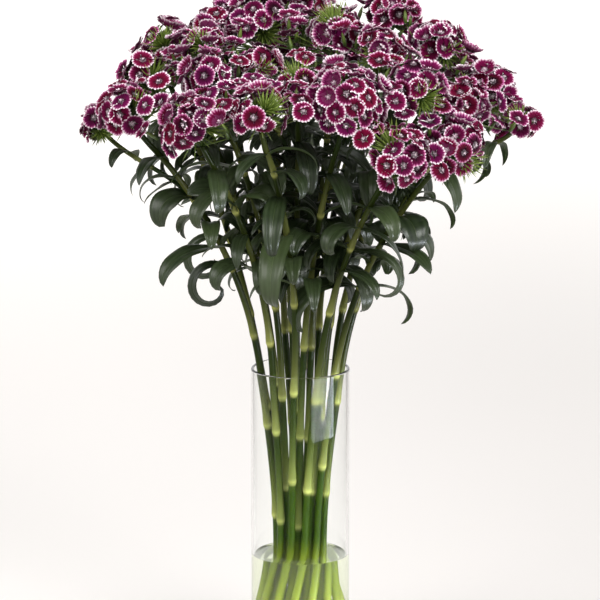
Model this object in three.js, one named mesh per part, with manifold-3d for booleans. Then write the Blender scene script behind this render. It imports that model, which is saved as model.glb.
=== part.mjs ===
// A bunch of cut sweet williams (Dianthus barbatus) standing in a clear glass cylinder vase.
// Millimetres, +Z up, with -Y as the front. The origin is the middle of the vase's underside.

import * as THREE from 'three';
import { mergeVertices } from 'three/addons/utils/BufferGeometryUtils.js';
import Module from 'manifold-3d';

const wasm = await Module();
wasm.setup();

// Driving dimensions

const gap = 0.3; // between pieces that touch

const vase = {
  radius: 50,
  height: 300,
  wall: 3,
  floor: 12,
  rounding: 1.5,
  sides: 32,
};

const water = {
  level: 105,
  stemGap: 0.4,
  sides: 18,
};

// The stems stand on three rings. The bunch is narrowest at its waist, near the water line, and
// turns about its own axis from the vase's floor to the rim, so that no two stems cross.
const bunch = {
  rings: [6, 15, 24],
  waist: 115,
  spreadAbove: 128,
  spreadBelow: 82,
  turnAbove: 0.081,
  turnBelow: 0.388,
  turnAtWaist: -15,
  outwardPower: 2.1,
  pointsInVase: 40,
  pointsAbove: 60,
};

const stem = {
  footRadius: 3.5,
  topRadius: 2.5,
  branchRadius: 2.1,
  sides: 5,
  jointSwell: 1.3,
  jointLength: 7,
  closeStep: 72,
  wideStep: 95,
  closeFrom: 320,
  leafyFrom: 385,
  lowestJoint: 125,
  jointBelowHead: 30,
  bentEnd: 60,
  bentEndPoints: 14,
  forkSplay: 0.8,
  forkAbove: 4,
  branchPoints: 20,
  branchTwist: 0.4,
  holePast: 10,
  bendsAt: [60, 110, 300], // in and just above the water, and at the rim
};

const leaf = {
  rows: 3,
  rowsWhenSet: 4,
  keel: 1.6,
  keelAtTip: 0.8,
  edgeSink: 0.3,
  footWide: 2.4,
  steps: 40,
  ballRows: 8,
  ballShare: 0.4,
  ownRoom: 25,
  belowJoint: 2,
  long: [62, 92],
  wide: [13, 19],
  leave: [36, 60],
  end: [115, 200],
  bend: [0.9, 1.5],
  roll: [-35, 35],
  swing: 38,
  tries: 14,
  branchShare: 0.55,
};

const head = {
  upPull: 0.6,
  stemPull: 0.3,
  stemReach: 0.72,
  coreFoot: 3.4,
  coreWide: 0.5,
  coreTop: 0.42,
  coreSides: 6,
  floretInset: 5,
  cover: 1.68,
  floretShare: 0.45,
  floretRadius: [11.5, 16],
  floretDish: 0.28,
  floretReach: 0.72,
  notch: 0.8,
  notchSink: 0.2,
  firstDrop: 0.35,
  goldenAngle: 137.508,
  lowestFloret: 100,
  tuftRoom: 34,
  ballShare: 0.9,
};

const tuft = {
  needles: 4,
  root: 0.3,
  past: [1, 7],
  radius: 1.1,
  spread: 36,
  spreadWave: [0.85, 0.15, 2.4],
  lean: 0.3,
  budRadius: 4,
};

const colours = {
  glass: 0xe4e8e8,
  water: 0xc2ccb4,
  stem: 0x4b6b30,
  petals: 0x8c1546,
};

// Heads: the middle, the radius, and the side [x, z] on which a green tuft stands. A tuft on a
// head behind the middle of the bunch faces the back.
const heads = [
  { at: [-171, -85, 576], size: 28, tuft: [0.85, 0.3] },
  { at: [-203, 1, 547], size: 20, tuft: [0.4, -0.5] },
  { at: [-104, -144, 573], size: 36, tuft: [0.85, 0.0] },
  { at: [-40, -166, 588], size: 30, tuft: [0.55, 0.4] },
  { at: [44, -150, 596], size: 40 },
  { at: [96, -165, 545], size: 32, tuft: [-0.6, 0.7] },
  { at: [150, -112, 543], size: 34, tuft: [0.6, -0.65] },
  { at: [163, -62, 580], size: 26 },
  { at: [112, -112, 600], size: 33, tuft: [0.45, -0.3] },
  { at: [78, -85, 641], size: 24, tuft: [-0.35, -0.7] },
  { at: [188, 15, 582], size: 30, tuft: [0.35, -0.85] },
  { at: [222, -20, 556], size: 20, tuft: [-0.5, 0.3] },
  { at: [138, 40, 622], size: 32, tuft: [0.55, -0.5] },
  { at: [93, 85, 647], size: 32 },
  { at: [38, -30, 645], size: 30, tuft: [-0.4, 0.8] },
  { at: [-2, -97, 598], size: 28, tuft: [-0.1, 0.9] },
  { at: [-40, -68, 620], size: 22, tuft: [0.2, -0.4] },
  { at: [-43, 12, 648], size: 36, tuft: [0.4, -0.4] },
  { at: [-89, -88, 611], size: 29 },
  { at: [-93, -35, 635], size: 24, tuft: [-0.4, 0.1] },
  { at: [-130, 44, 619], size: 32, tuft: [-0.45, 0.3] },
  { at: [-152, -25, 598], size: 32, tuft: [0.5, 0.2] },
  { at: [4, 66, 655], size: 28 },
  { at: [5, 130, 628], size: 34, tuft: [0.3, 0.4] },
  { at: [-142, 116, 592], size: 34, tuft: [-0.3, -0.2] },
  { at: [-165, 75, 550], size: 26 },
  { at: [-80, 112, 625], size: 34 },
  { at: [-96, 172, 573], size: 36, tuft: [0.4, 0.4] },
  { at: [-12, 188, 580], size: 36, tuft: [0.5, -0.4] },
  { at: [80, 165, 585], size: 36, tuft: [-0.2, 0.5] },
  { at: [148, 110, 590], size: 34, tuft: [0.5, 0.3] },
  { at: [190, 75, 545], size: 26 },
];

// Stems: the head on top, the head on the side branch, the ring and angle of the stem in the
// bunch, the height of one joint, and the leaves that have a set shape. A leaf's numbers are the
// height of its joint, the way it grows to, its length and width, the angle from upright at its
// root and tip, how late it bends, and its roll.
const stems = [
  {
    head: 1, branch: 2, ring: 2, angle: 196, joint: 409,
    leaves: [
      [409, 183, 108, 13, 58, 335, 1.15, 15],
      [409, -30, 60, 14, 50, 130, 1.2, 0],
      [481, 205, 66, 21, 42, 200, 1.0, 50],
      [481, -40, 55, 20, 40, 150, 1.2, 20],
    ],
  },
  {
    head: 3, ring: 2, angle: 229, joint: 334,
    leaves: [
      [406, 215, 78, 17, 35, 170, 1.2, 30],
      [406, 35, 74, 16, 40, 140, 1.2, 0],
      [478, 190, 62, 24, 15, 120, 1.0, 45],
      [478, -35, 64, 23, 20, 125, 1.1, -30],
    ],
  },
  {
    head: 4, ring: 2, angle: 262, joint: 450,
    leaves: [
      [450, 255, 122, 20, 45, 184, 0.62, -15],
      [450, 60, 70, 17, 45, 150, 1.2, 0],
      [522, -45, 60, 16, 50, 172, 0.9, 10],
      [522, 160, 62, 17, 40, 150, 1.2, 10],
    ],
  },
  { head: 5, ring: 1, angle: 275, joint: 400 },
  {
    head: 6, ring: 2, angle: 295, joint: 440,
    leaves: [
      [440, -8, 106, 13, 92, 335, 2.0, 10],
      [440, 190, 64, 18, 50, 175, 1.0, 20],
    ],
  },
  {
    head: 7, branch: 8, ring: 2, angle: 327, joint: 392,
    leaves: [
      [392, 198, 104, 20, 72, 205, 1.5, 40],
      [392, 6, 82, 14, 82, 235, 1.8, 20],
      [464, -62, 72, 24, 45, 178, 0.9, 0],
      [464, 150, 66, 18, 45, 160, 1.1, 0],
    ],
  },
  { head: 9, branch: 10, ring: 1, angle: 326, joint: 436 },
  {
    head: 11, branch: 12, ring: 2, angle: 0, joint: 432,
    leaves: [
      [432, -25, 84, 21, 40, 188, 1.0, 5],
      [432, 150, 62, 17, 45, 160, 1.1, 0],
      [504, -38, 66, 17, 75, 188, 0.8, 0],
      [534, 20, 82, 9, 78, 235, 1.1, 15],
    ],
  },
  { head: 13, ring: 1, angle: 17, joint: 415 },
  { head: 14, ring: 1, angle: 69, joint: 392 },
  { head: 15, ring: 0, angle: 350, joint: 394 },
  { head: 16, branch: 17, ring: 0, angle: 250, joint: 426 },
  { head: 18, ring: 0, angle: 130, joint: 410 },
  { head: 19, branch: 20, ring: 1, angle: 223, joint: 440 },
  { head: 21, branch: 22, ring: 1, angle: 172, joint: 450 },
  { head: 23, branch: 24, ring: 1, angle: 120, joint: 478 },
  {
    head: 25, branch: 26, ring: 2, angle: 164, joint: 424,
    leaves: [
      [424, 178, 112, 13, 56, 325, 1.2, 20],
      [424, 20, 66, 16, 45, 150, 1.1, 0],
    ],
  },
  { head: 27, branch: 28, ring: 2, angle: 131, joint: 448 },
  { head: 29, ring: 2, angle: 98, joint: 430 },
  { head: 30, ring: 2, angle: 65, joint: 405 },
  {
    head: 31, branch: 32, ring: 2, angle: 33, joint: 425,
    leaves: [
      [425, -2, 98, 19, 50, 212, 1.1, 25],
      [425, 120, 70, 17, 45, 150, 1.1, 0],
    ],
  },
];

// Small helpers

const degrees = Math.PI / 180;
const upright = new THREE.Vector3(0, 0, 1);

function vector(x, y, z) {
  return new THREE.Vector3(x, y, z);
}

function mixed(a, b, share) {
  return a.clone().lerp(b, share);
}

// A seeded row of numbers between two limits, the same on every machine.
function seededDraw(seed) {
  let state = seed;
  return (low, high) => {
    state = (state * 16807) % 2147483647;
    return low + ((high - low) * state) / 2147483647;
  };
}

// Solids

// Faces on welded corners, without the ones that collapse and without pairs that lie back to
// back on the same three corners.
function weldedFaces(geometry, tolerance) {
  const welded = mergeVertices(geometry, tolerance);
  const index = welded.index.array;
  const faces = new Map();
  for (let i = 0; i < index.length; i += 3) {
    const face = [index[i], index[i + 1], index[i + 2]];
    if (new Set(face).size === 3) {
      const key = [...face].sort((a, b) => a - b).join();
      if (faces.has(key)) {
        faces.delete(key);
      } else {
        faces.set(key, face);
      }
    }
  }
  return { points: welded.attributes.position.array, corners: [...faces.values()].flat() };
}

function solidOf(geometry) {
  geometry.deleteAttribute('normal');
  geometry.deleteAttribute('uv');
  const { points, corners } = weldedFaces(geometry, 1e-4);
  return new wasm.Manifold(new wasm.Mesh({
    numProp: 3,
    vertProperties: new Float32Array(points),
    triVerts: new Uint32Array(corners),
  }));
}

function meshOf(name, solid, colour, finish) {
  const cut = solid.getMesh();
  const raw = new THREE.BufferGeometry();
  raw.setAttribute('position', new THREE.BufferAttribute(new Float32Array(cut.vertProperties), 3));
  raw.setIndex(new THREE.BufferAttribute(new Uint32Array(cut.triVerts), 1));
  const { points, corners } = weldedFaces(raw, 2e-3);
  const geometry = new THREE.BufferGeometry();
  geometry.setAttribute('position', new THREE.BufferAttribute(points, 3));
  geometry.setIndex(corners);
  geometry.computeVertexNormals();
  const mesh = new THREE.Mesh(geometry, new THREE.MeshStandardMaterial({ color: colour, ...finish }));
  mesh.name = name;
  return mesh;
}

// The largest loose body of a cut solid: what a neighbour cut off is dropped.
function largestPart(solid) {
  const parts = solid.decompose();
  parts.sort((a, b) => b.volume() - a.volume());
  return parts[0];
}

function boxesMeet(a, b) {
  const first = a.boundingBox();
  const second = b.boundingBox();
  return [0, 1, 2].every((i) => first.min[i] < second.max[i] && second.min[i] < first.max[i]);
}

function cutBy(solid, cutters) {
  let left = solid;
  for (const cutter of cutters) {
    if (boxesMeet(left, cutter)) {
      left = left.subtract(cutter);
    }
  }
  return left;
}

// A bar of some sides whose rows are laid along a path. Each ring holds the place of its row, the
// direction that it runs in, the direction across it, and the outline as a function of the angle.
function bentBar(sides, rings, pointed) {
  const rows = rings.length - 1;
  const bar = new THREE.CylinderGeometry(pointed ? 0 : 1, 1, rows, sides, rows);
  const place = bar.attributes.position;
  const corner = new THREE.Vector3();
  for (let i = 0; i < place.count; i += 1) {
    corner.fromBufferAttribute(place, i);
    const ring = rings[Math.round(corner.y + rows / 2)];
    const onAxis = Math.hypot(corner.x, corner.z) < 1e-6;
    const [side, rise] = onAxis ? [0, 0] : ring.outline(Math.atan2(corner.x, corner.z));
    const lift = ring.across.clone().cross(ring.along);
    corner.copy(ring.at).addScaledVector(ring.across, side).addScaledVector(lift, rise);
    place.setXYZ(i, corner.x, corner.y, corner.z);
  }
  return solidOf(bar);
}

function roundOutline(radius) {
  return (angle) => [radius * Math.sin(angle), radius * Math.cos(angle)];
}

// Paths: rows of points with the length run at each

function measured(points) {
  const run = [0];
  for (let i = 1; i < points.length; i += 1) {
    run.push(run[i - 1] + points[i].distanceTo(points[i - 1]));
  }
  return { points, run, length: run[run.length - 1] };
}

function placeOn(path, distance) {
  let i = 1;
  while (i < path.run.length - 1 && path.run[i] < distance) {
    i += 1;
  }
  const share = (distance - path.run[i - 1]) / (path.run[i] - path.run[i - 1]);
  const at = mixed(path.points[i - 1], path.points[i], share);
  const along = path.points[i].clone().sub(path.points[i - 1]).normalize();
  return { at, along };
}

function runAtHeight(path, height) {
  const i = path.points.findIndex((point) => point.z >= height);
  const below = path.points[i - 1];
  const share = (height - below.z) / (path.points[i].z - below.z);
  return path.run[i - 1] + share * (path.run[i] - path.run[i - 1]);
}

function firstBeyond(path, distance) {
  return path.run.findIndex((run) => run >= distance);
}

// The curve from one place and direction to another, as evenly numbered points.
function easedCurve(from, fromWay, to, toWay, count) {
  const third = from.distanceTo(to) / 3;
  const curve = new THREE.CubicBezierCurve3(
    from,
    from.clone().addScaledVector(fromWay, third),
    to.clone().addScaledVector(toWay, -third),
    to,
  );
  return curve.getPoints(count - 1);
}

// The place of a stem in the bunch at some height.
function bunchPoint(ring, angle, height) {
  const rise = height - bunch.waist;
  const spread = rise > 0 ? bunch.spreadAbove : bunch.spreadBelow;
  const turn = rise > 0 ? bunch.turnAbove : bunch.turnBelow;
  const reach = bunch.rings[ring] * Math.sqrt(1 + (rise / spread) ** 2);
  const bearing = (angle + bunch.turnAtWaist + turn * rise) * degrees;
  return vector(reach * Math.cos(bearing), reach * Math.sin(bearing), height);
}

// Heads

const domeMiddle = vector(0, 0, 525);
const domeReach = vector(180, 188, 112);

// A head looks out of the dome that the bunch makes, and partly up and along its stem.
function headFrame(number, rimPoint) {
  const { at, size } = heads[number - 1];
  const middle = vector(...at);
  const outward = middle.clone().sub(domeMiddle);
  outward.divide(domeReach).divide(domeReach).normalize();
  const way = middle.clone().sub(rimPoint).normalize();
  const axis = outward.addScaledVector(upright, head.upPull);
  axis.addScaledVector(way, head.stemPull).normalize();
  const foot = middle.clone().addScaledVector(axis, -head.stemReach * size);
  return { number, middle, size, axis, foot };
}

function axesAcross(axis) {
  const side = vector(1, 0, 0).addScaledVector(axis, -axis.x).normalize();
  const other = axis.clone().cross(side);
  return { side, other };
}

// The green middle of a head, which the florets stand on: a spinning top on the stem's end.
function headCore(frame, grow) {
  const { size } = frame;
  const foot = -head.stemReach * size + gap;
  const wide = head.coreWide * size + grow;
  const profile = [
    new THREE.Vector2(0, foot - grow),
    new THREE.Vector2(head.coreFoot + grow, foot - grow),
    new THREE.Vector2(wide, 0),
    new THREE.Vector2(0, head.coreTop * size + grow),
  ];
  const core = new THREE.LatheGeometry(profile, head.coreSides);
  core.rotateX(Math.PI / 2);
  const turn = new THREE.Quaternion().setFromUnitVectors(upright, frame.axis);
  core.applyQuaternion(turn);
  core.translate(frame.middle.x, frame.middle.y, frame.middle.z);
  return solidOf(core);
}

// One floret: five petals on a calyx that runs to a point in the core. The petals' tips stand
// higher than the notches between them, and the face is dished towards the throat.
function floret({ middle, way, radius, turn, reach }) {
  const { side, other } = axesAcross(way);
  const place = (distance, bearing, level) => middle.clone()
    .addScaledVector(side, distance * Math.cos(bearing))
    .addScaledVector(other, distance * Math.sin(bearing))
    .addScaledVector(way, level);
  const throat = place(0, 0, -head.floretDish * radius);
  const apex = place(0, 0, -reach);
  const tips = [];
  const notches = [];
  for (let petal = 0; petal < 5; petal += 1) {
    const bearing = turn + petal * 72 * degrees;
    tips.push(place(radius, bearing, 0));
    notches.push(place(head.notch * radius, bearing + 36 * degrees, -head.notchSink * radius));
  }
  const points = [];
  for (let petal = 0; petal < 5; petal += 1) {
    const tip = tips[petal];
    const before = notches[(petal + 4) % 5];
    const after = notches[petal];
    points.push(throat, before, tip, throat, tip, after);
    points.push(tip, before, after, before, apex, after);
  }
  return solidOf(new THREE.BufferGeometry().setFromPoints(points));
}

// The room that a floret takes, with its dish filled.
function floretRoom({ middle, way, radius, reach }) {
  const wide = (radius + gap) / Math.cos(18 * degrees);
  const profile = [
    new THREE.Vector2(0, -reach - 2 * gap),
    new THREE.Vector2(wide, -head.notchSink * radius - gap),
    new THREE.Vector2(wide, gap),
    new THREE.Vector2(0, gap),
  ];
  const room = new THREE.LatheGeometry(profile, 10).rotateX(Math.PI / 2);
  room.applyQuaternion(new THREE.Quaternion().setFromUnitVectors(upright, way));
  room.translate(middle.x, middle.y, middle.z);
  return solidOf(room);
}

function tuftWay(number) {
  const { at, tuft: side } = heads[number - 1];
  if (!side) {
    return null;
  }
  const depth = Math.sqrt(Math.max(0.05, 1 - side[0] ** 2 - side[1] ** 2));
  return vector(side[0], at[1] > 60 ? depth : -depth, side[1]).normalize();
}

// Florets spiral from the top of the head to below its widest place, each turned on from the last
// by the golden angle. The place of the tuft stays free.
function floretPlaces(frame) {
  const draw = seededDraw(5000 + 37 * frame.number);
  const reach = frame.size - head.floretInset;
  const [smallest, largest] = head.floretRadius;
  const radius = Math.min(largest, Math.max(smallest, head.floretShare * frame.size));
  const count = Math.round((head.cover * reach * reach) / (radius * radius));
  const { side, other } = axesAcross(frame.axis);
  const free = tuftWay(frame.number);
  const lowest = Math.cos(head.lowestFloret * degrees);
  const first = draw(0, 360);
  const places = [];
  for (let i = 0; i < count; i += 1) {
    const drop = 1 - ((i + head.firstDrop) / count) * (1 - lowest);
    const out = Math.sqrt(1 - drop * drop);
    const bearing = (first + head.goldenAngle * i) * degrees;
    const way = frame.axis.clone().multiplyScalar(drop);
    way.addScaledVector(side, out * Math.cos(bearing));
    way.addScaledVector(other, out * Math.sin(bearing));
    const turn = draw(0, 72) * degrees;
    if (!free || way.dot(free) < Math.cos(head.tuftRoom * degrees)) {
      const middle = frame.middle.clone().addScaledVector(way, reach);
      places.push({ middle, way, radius, turn, reach: head.floretReach * reach });
    }
  }
  return places;
}

function flowerHead(frame) {
  let solid = headCore(frame, 0);
  for (const place of floretPlaces(frame)) {
    solid = solid.add(floret(place));
  }
  return solid;
}

function headRoom(frame) {
  let solid = headCore(frame, gap);
  for (const place of floretPlaces(frame)) {
    solid = solid.add(floretRoom(place));
  }
  return solid;
}

// A tuft: a slim bud in the middle of needles, all with their roots inside the core.
function tuftSpikes(frame, grow) {
  const way = tuftWay(frame.number);
  if (!way) {
    return [];
  }
  const draw = seededDraw(9000 + 53 * frame.number);
  const root = frame.middle.clone().addScaledVector(way, tuft.root * frame.size);
  const lean = way.clone().addScaledVector(upright, tuft.lean).normalize();
  const { side, other } = axesAcross(lean);
  const reach = (1 - tuft.root) * frame.size;
  const spike = (along, across, radius, long, sides) => bentBar(sides, [
    { at: root, along, across, outline: roundOutline(radius + grow) },
    { at: root.clone().addScaledVector(along, long + grow), along, across },
  ], true);
  const spikes = [spike(lean, side, tuft.budRadius, reach, 4)];
  const [level, swing, pace] = tuft.spreadWave;
  for (let i = 0; i < tuft.needles; i += 1) {
    const tilt = tuft.spread * (level + swing * Math.sin(pace * i)) * degrees;
    const bearing = ((360 * i) / tuft.needles + draw(0, 20)) * degrees;
    const needleWay = lean.clone().multiplyScalar(Math.cos(tilt));
    needleWay.addScaledVector(side, Math.sin(tilt) * Math.cos(bearing));
    needleWay.addScaledVector(other, Math.sin(tilt) * Math.sin(bearing));
    const across = axesAcross(needleWay).side;
    spikes.push(spike(needleWay, across, tuft.radius, reach + draw(...tuft.past), 3));
  }
  return spikes;
}

// Stems

// Up to the rim a stem follows the bunch. Above it the stem runs on and is drawn outwards to its
// head, more and more towards the top, and its end eases into the head's axis.
function stemPath(row) {
  const floorPoint = bunchPoint(row.ring, row.angle, vase.floor);
  const floorWay = bunchPoint(row.ring, row.angle, vase.floor + 1).sub(floorPoint).normalize();
  const lean = Math.hypot(floorWay.x, floorWay.y);
  const start = vase.floor + gap + stem.footRadius * lean;
  const rim = bunchPoint(row.ring, row.angle, vase.height);
  const slope = rim.clone().sub(bunchPoint(row.ring, row.angle, vase.height - 1));
  const frame = headFrame(row.head, rim);
  const climb = frame.foot.z - vase.height;
  const straight = rim.clone().addScaledVector(slope, climb);
  const draw = frame.foot.clone().sub(straight);
  const points = [];
  const step = (vase.height - start) / bunch.pointsInVase;
  for (let i = 0; i < bunch.pointsInVase; i += 1) {
    points.push(bunchPoint(row.ring, row.angle, start + step * i));
  }
  for (let i = 0; i < bunch.pointsAbove; i += 1) {
    const share = i / (bunch.pointsAbove - 1);
    const point = rim.clone().addScaledVector(slope, climb * share);
    points.push(point.addScaledVector(draw, share ** bunch.outwardPower));
  }
  const whole = measured(points);
  const bend = firstBeyond(whole, whole.length - stem.bentEnd);
  const way = points[bend + 1].clone().sub(points[bend - 1]).normalize();
  const end = easedCurve(points[bend], way, frame.foot, frame.axis, stem.bentEndPoints);
  return { path: measured(points.slice(0, bend).concat(end)), frame, rim };
}

function branchPath(row, path, rim) {
  const frame = headFrame(row.branch, rim);
  const from = placeOn(path, runAtHeight(path, row.joint + stem.closeStep) + stem.forkAbove);
  const toHead = frame.foot.clone().sub(from.at).normalize();
  const way = from.along.clone().addScaledVector(toHead, stem.forkSplay).normalize();
  const curve = easedCurve(from.at, way, frame.foot, frame.axis, stem.branchPoints);
  return { path: measured(curve), frame };
}

function jointHeights(row, top) {
  const heights = [];
  let height = row.joint;
  while (height + stem.closeStep < top - stem.jointBelowHead) {
    height += stem.closeStep;
  }
  while (height > stem.lowestJoint) {
    heights.push(height);
    height -= height - stem.closeStep > stem.closeFrom ? stem.closeStep : stem.wideStep;
  }
  return heights;
}

// A stem's tube, which swells at each joint. Runs are distances along the path.
function tube(path, ends, bends, joints, radii, grow, sideways = 0) {
  const [from, to] = ends;
  const marks = [from - grow, ...bends, to + grow].map((run) => ({ run, swell: 1 }));
  for (const run of joints) {
    marks.push({ run: run - stem.jointLength, swell: 1 }, { run, swell: stem.jointSwell });
  }
  marks.sort((a, b) => a.run - b.run);
  const rings = marks.map(({ run, swell }) => {
    const { at, along } = placeOn(path, run);
    const radius = (radii[0] + ((radii[1] - radii[0]) * (run - from)) / (to - from)) * swell;
    const across = along.clone().cross(vector(1, sideways, 0)).normalize();
    return { at, along, across, outline: roundOutline(radius + grow) };
  });
  return bentBar(stem.sides, rings, false);
}

// Leaves

// A leaf's middle line: from its joint it grows towards one bearing, and its angle from upright
// runs from start to end, late or early as bend says.
function leafLine(root, shape, rows) {
  const bearing = shape.toward * degrees;
  const outward = vector(Math.cos(bearing), Math.sin(bearing), 0);
  const { steps } = leaf;
  const at = root.clone();
  const line = [];
  const marks = Array.from({ length: rows + 1 }, (_, row) => Math.round((row * steps) / rows));
  for (let i = 0; i <= steps; i += 1) {
    const share = i / steps;
    const angle = (shape.start + (shape.end - shape.start) * share ** shape.bend) * degrees;
    const along = outward.clone().multiplyScalar(Math.sin(angle));
    along.addScaledVector(upright, Math.cos(angle));
    if (marks.includes(i)) {
      const face = outward.clone().multiplyScalar(-Math.cos(angle));
      face.addScaledVector(upright, Math.sin(angle));
      line.push({ at: at.clone(), along, face, share });
    }
    at.addScaledVector(along, shape.long / steps);
  }
  return line;
}

// Lance-shaped: narrow at the joint, widest a little below the middle, and running to a point.
function leafWidth(share, wide) {
  const full = Math.sin(Math.PI * share ** 0.8) ** 0.75;
  return Math.max(leaf.footWide * (1 - share), wide * full);
}

function leafBlade(root, shape, grow) {
  const line = leafLine(root, shape, shape.rows ?? leaf.rows);
  const rings = line.map(({ at, along, face, share }) => {
    const roll = shape.roll * share * degrees;
    const across = along.clone().cross(face).multiplyScalar(Math.cos(roll));
    across.addScaledVector(face, Math.sin(roll)).normalize();
    const half = leafWidth(share, shape.wide) / 2 + 8 * grow; // its edges are thin wedges
    const keel = leaf.keel + (leaf.keelAtTip - leaf.keel) * share;
    const outline = (angle) => {
      const corner = Math.round((angle / Math.PI) * 1.5);
      const edge = [corner * half, -leaf.edgeSink * keel - grow];
      return corner === 0 ? [0, keel + 1.5 * grow] : edge;
    };
    return { at, along, across: across.negate(), outline };
  });
  return bentBar(3, rings, true);
}

// What a new leaf keeps clear of, as balls: stems, heads and the leaves before it.
const inTheWay = [];

function clearance(root, shape, owner) {
  let least = Infinity;
  for (const { at, share } of leafLine(root, shape, leaf.ballRows).slice(2)) {
    const half = leafWidth(share, shape.wide) * leaf.ballShare;
    for (const ball of inTheWay) {
      if (ball.owner !== owner || at.distanceTo(root) > leaf.ownRoom) {
        least = Math.min(least, at.distanceTo(ball.at) - ball.radius - half);
      }
    }
  }
  return least;
}

// Of several shapes drawn for a leaf the clearest one is taken. The angle at the root is measured
// from the way that the stem leans.
function chosenLeaf(root, stemWay, toward, size, owner, draw) {
  let best = null;
  let bestClear = -Infinity;
  for (let i = 0; i < leaf.tries; i += 1) {
    const bearing = toward + draw(-leaf.swing, leaf.swing);
    const outward = vector(Math.cos(bearing * degrees), Math.sin(bearing * degrees), 0);
    const stemLean = Math.atan2(stemWay.dot(outward), stemWay.z) / degrees;
    const shape = {
      toward: bearing,
      long: size * draw(...leaf.long),
      wide: size * draw(...leaf.wide),
      start: stemLean + draw(...leaf.leave),
      end: draw(...leaf.end),
      bend: draw(...leaf.bend),
      roll: draw(...leaf.roll),
    };
    const clear = clearance(root, shape, owner);
    if (clear > bestClear) {
      best = shape;
      bestClear = clear;
    }
  }
  return best;
}

function setLeaf([, toward, long, wide, start, end, bend, roll]) {
  return { rows: leaf.rowsWhenSet, toward, long, wide, start, end, bend, roll };
}

function markLeaf(root, shape, owner) {
  for (const { at, share } of leafLine(root, shape, leaf.ballRows)) {
    inTheWay.push({ at, radius: leafWidth(share, shape.wide) * leaf.ballShare, owner });
  }
}

// The bunch: paths first, then the leaves' places, then the solids

const plans = stems.map((row, index) => {
  const { path, frame, rim } = stemPath(row);
  const joints = jointHeights(row, frame.foot.z);
  const plan = { row, owner: index + 1, path, frame, joints, leaves: [] };
  if (row.branch) {
    plan.branch = branchPath(row, path, rim);
  }
  return plan;
});

function markPath(path, radius, owner) {
  for (let run = 0; run < path.length; run += 6) {
    const { at } = placeOn(path, run);
    if (at.z > vase.height - 20) {
      inTheWay.push({ at, radius, owner });
    }
  }
}

function markHead({ middle, size }) {
  inTheWay.push({ at: middle, radius: size * head.ballShare, owner: 0 });
}

for (const plan of plans) {
  markPath(plan.path, stem.footRadius, plan.owner);
  markHead(plan.frame);
  if (plan.branch) {
    markPath(plan.branch.path, stem.branchRadius, plan.owner);
    markHead(plan.branch.frame);
  }
}

function addLeaf(plan, root, shape) {
  plan.leaves.push({ root, shape });
  markLeaf(root, shape, plan.owner);
}

for (const plan of plans) {
  for (const numbers of plan.row.leaves ?? []) {
    const root = placeOn(plan.path, runAtHeight(plan.path, numbers[0]) - leaf.belowJoint).at;
    addLeaf(plan, root, setLeaf(numbers));
  }
}

for (const plan of plans) {
  const draw = seededDraw(1000 + 71 * plan.owner);
  const facing = draw(0, 360);
  const set = (plan.row.leaves ?? []).map((numbers) => numbers[0]);
  plan.joints.forEach((height, index) => {
    if (height < stem.leafyFrom || set.includes(height)) {
      return;
    }
    const { at, along } = placeOn(plan.path, runAtHeight(plan.path, height) - leaf.belowJoint);
    for (const half of [0, 180]) {
      const toward = facing + 90 * index + half;
      addLeaf(plan, at, chosenLeaf(at, along, toward, 1, plan.owner, draw));
    }
  });
  if (plan.branch) {
    const { path } = plan.branch;
    const { at, along } = placeOn(path, path.length * 0.5 - leaf.belowJoint);
    for (const half of [0, 180]) {
      const toward = facing + half;
      addLeaf(plan, at, chosenLeaf(at, along, toward, leaf.branchShare, plan.owner, draw));
    }
  }
}

function stemTubes(plan, grow) {
  const { path } = plan;
  const joints = plan.joints.map((height) => runAtHeight(path, height));
  const bends = stem.bendsAt.map((height) => runAtHeight(path, height));
  const radii = [stem.footRadius, stem.topRadius];
  let solid = tube(path, [0, path.length], bends, joints, radii, grow);
  if (plan.branch) {
    const side = plan.branch.path;
    const long = side.length;
    const sideRadii = [stem.branchRadius, stem.branchRadius];
    const bow = [long * 0.25, long * 0.75];
    const joint = [long * 0.5];
    solid = solid.add(tube(side, [0, long], bow, joint, sideRadii, grow, stem.branchTwist));
  }
  return solid;
}

const headFrames = plans.map((plan) => plan.frame);
headFrames.push(...plans.filter((plan) => plan.branch).map((plan) => plan.branch.frame));
headFrames.sort((a, b) => a.number - b.number);

const stemCutters = plans.map((plan) => stemTubes(plan, gap));
const bloomCutters = headFrames.map(headRoom);

// Tufts give way to the other heads and to the tufts before them.
const tuftCutters = [];
const headSolids = headFrames.map((frame, index) => {
  let solid = flowerHead(frame);
  const others = bloomCutters.filter((cutter, other) => other !== index);
  const blocks = [...others, ...tuftCutters, ...stemCutters];
  for (const spike of tuftSpikes(frame, 0)) {
    solid = solid.add(cutBy(spike, blocks));
  }
  tuftCutters.push(...tuftSpikes(frame, gap));
  return largestPart(solid);
});

// Leaves give way to other stems, to all heads and tufts, and to the leaves before them.
const leafCutters = [];
const stemSolids = plans.map((plan, index) => {
  let solid = stemTubes(plan, 0);
  const others = stemCutters.filter((cutter, other) => other !== index);
  const blocks = [...others, ...bloomCutters, ...tuftCutters, ...leafCutters];
  for (const { root, shape } of plan.leaves) {
    solid = solid.add(cutBy(leafBlade(root, shape, 0), blocks));
    leafCutters.push(leafBlade(root, shape, gap));
  }
  return largestPart(solid);
});

// Vase and water

function vaseSolid() {
  const inner = vase.radius - vase.wall;
  const { rounding } = vase;
  const profile = [
    [0, 0],
    [vase.radius - rounding, 0],
    [vase.radius, rounding],
    [vase.radius, vase.height - rounding / 2],
    [vase.radius - rounding / 2, vase.height],
    [inner + rounding / 2, vase.height],
    [inner, vase.height - rounding / 2],
    [inner, vase.floor + rounding],
    [inner - rounding, vase.floor],
    [0, vase.floor],
  ];
  const points = profile.map(([x, y]) => new THREE.Vector2(x, y));
  return solidOf(new THREE.LatheGeometry(points, vase.sides).rotateX(Math.PI / 2));
}

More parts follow.
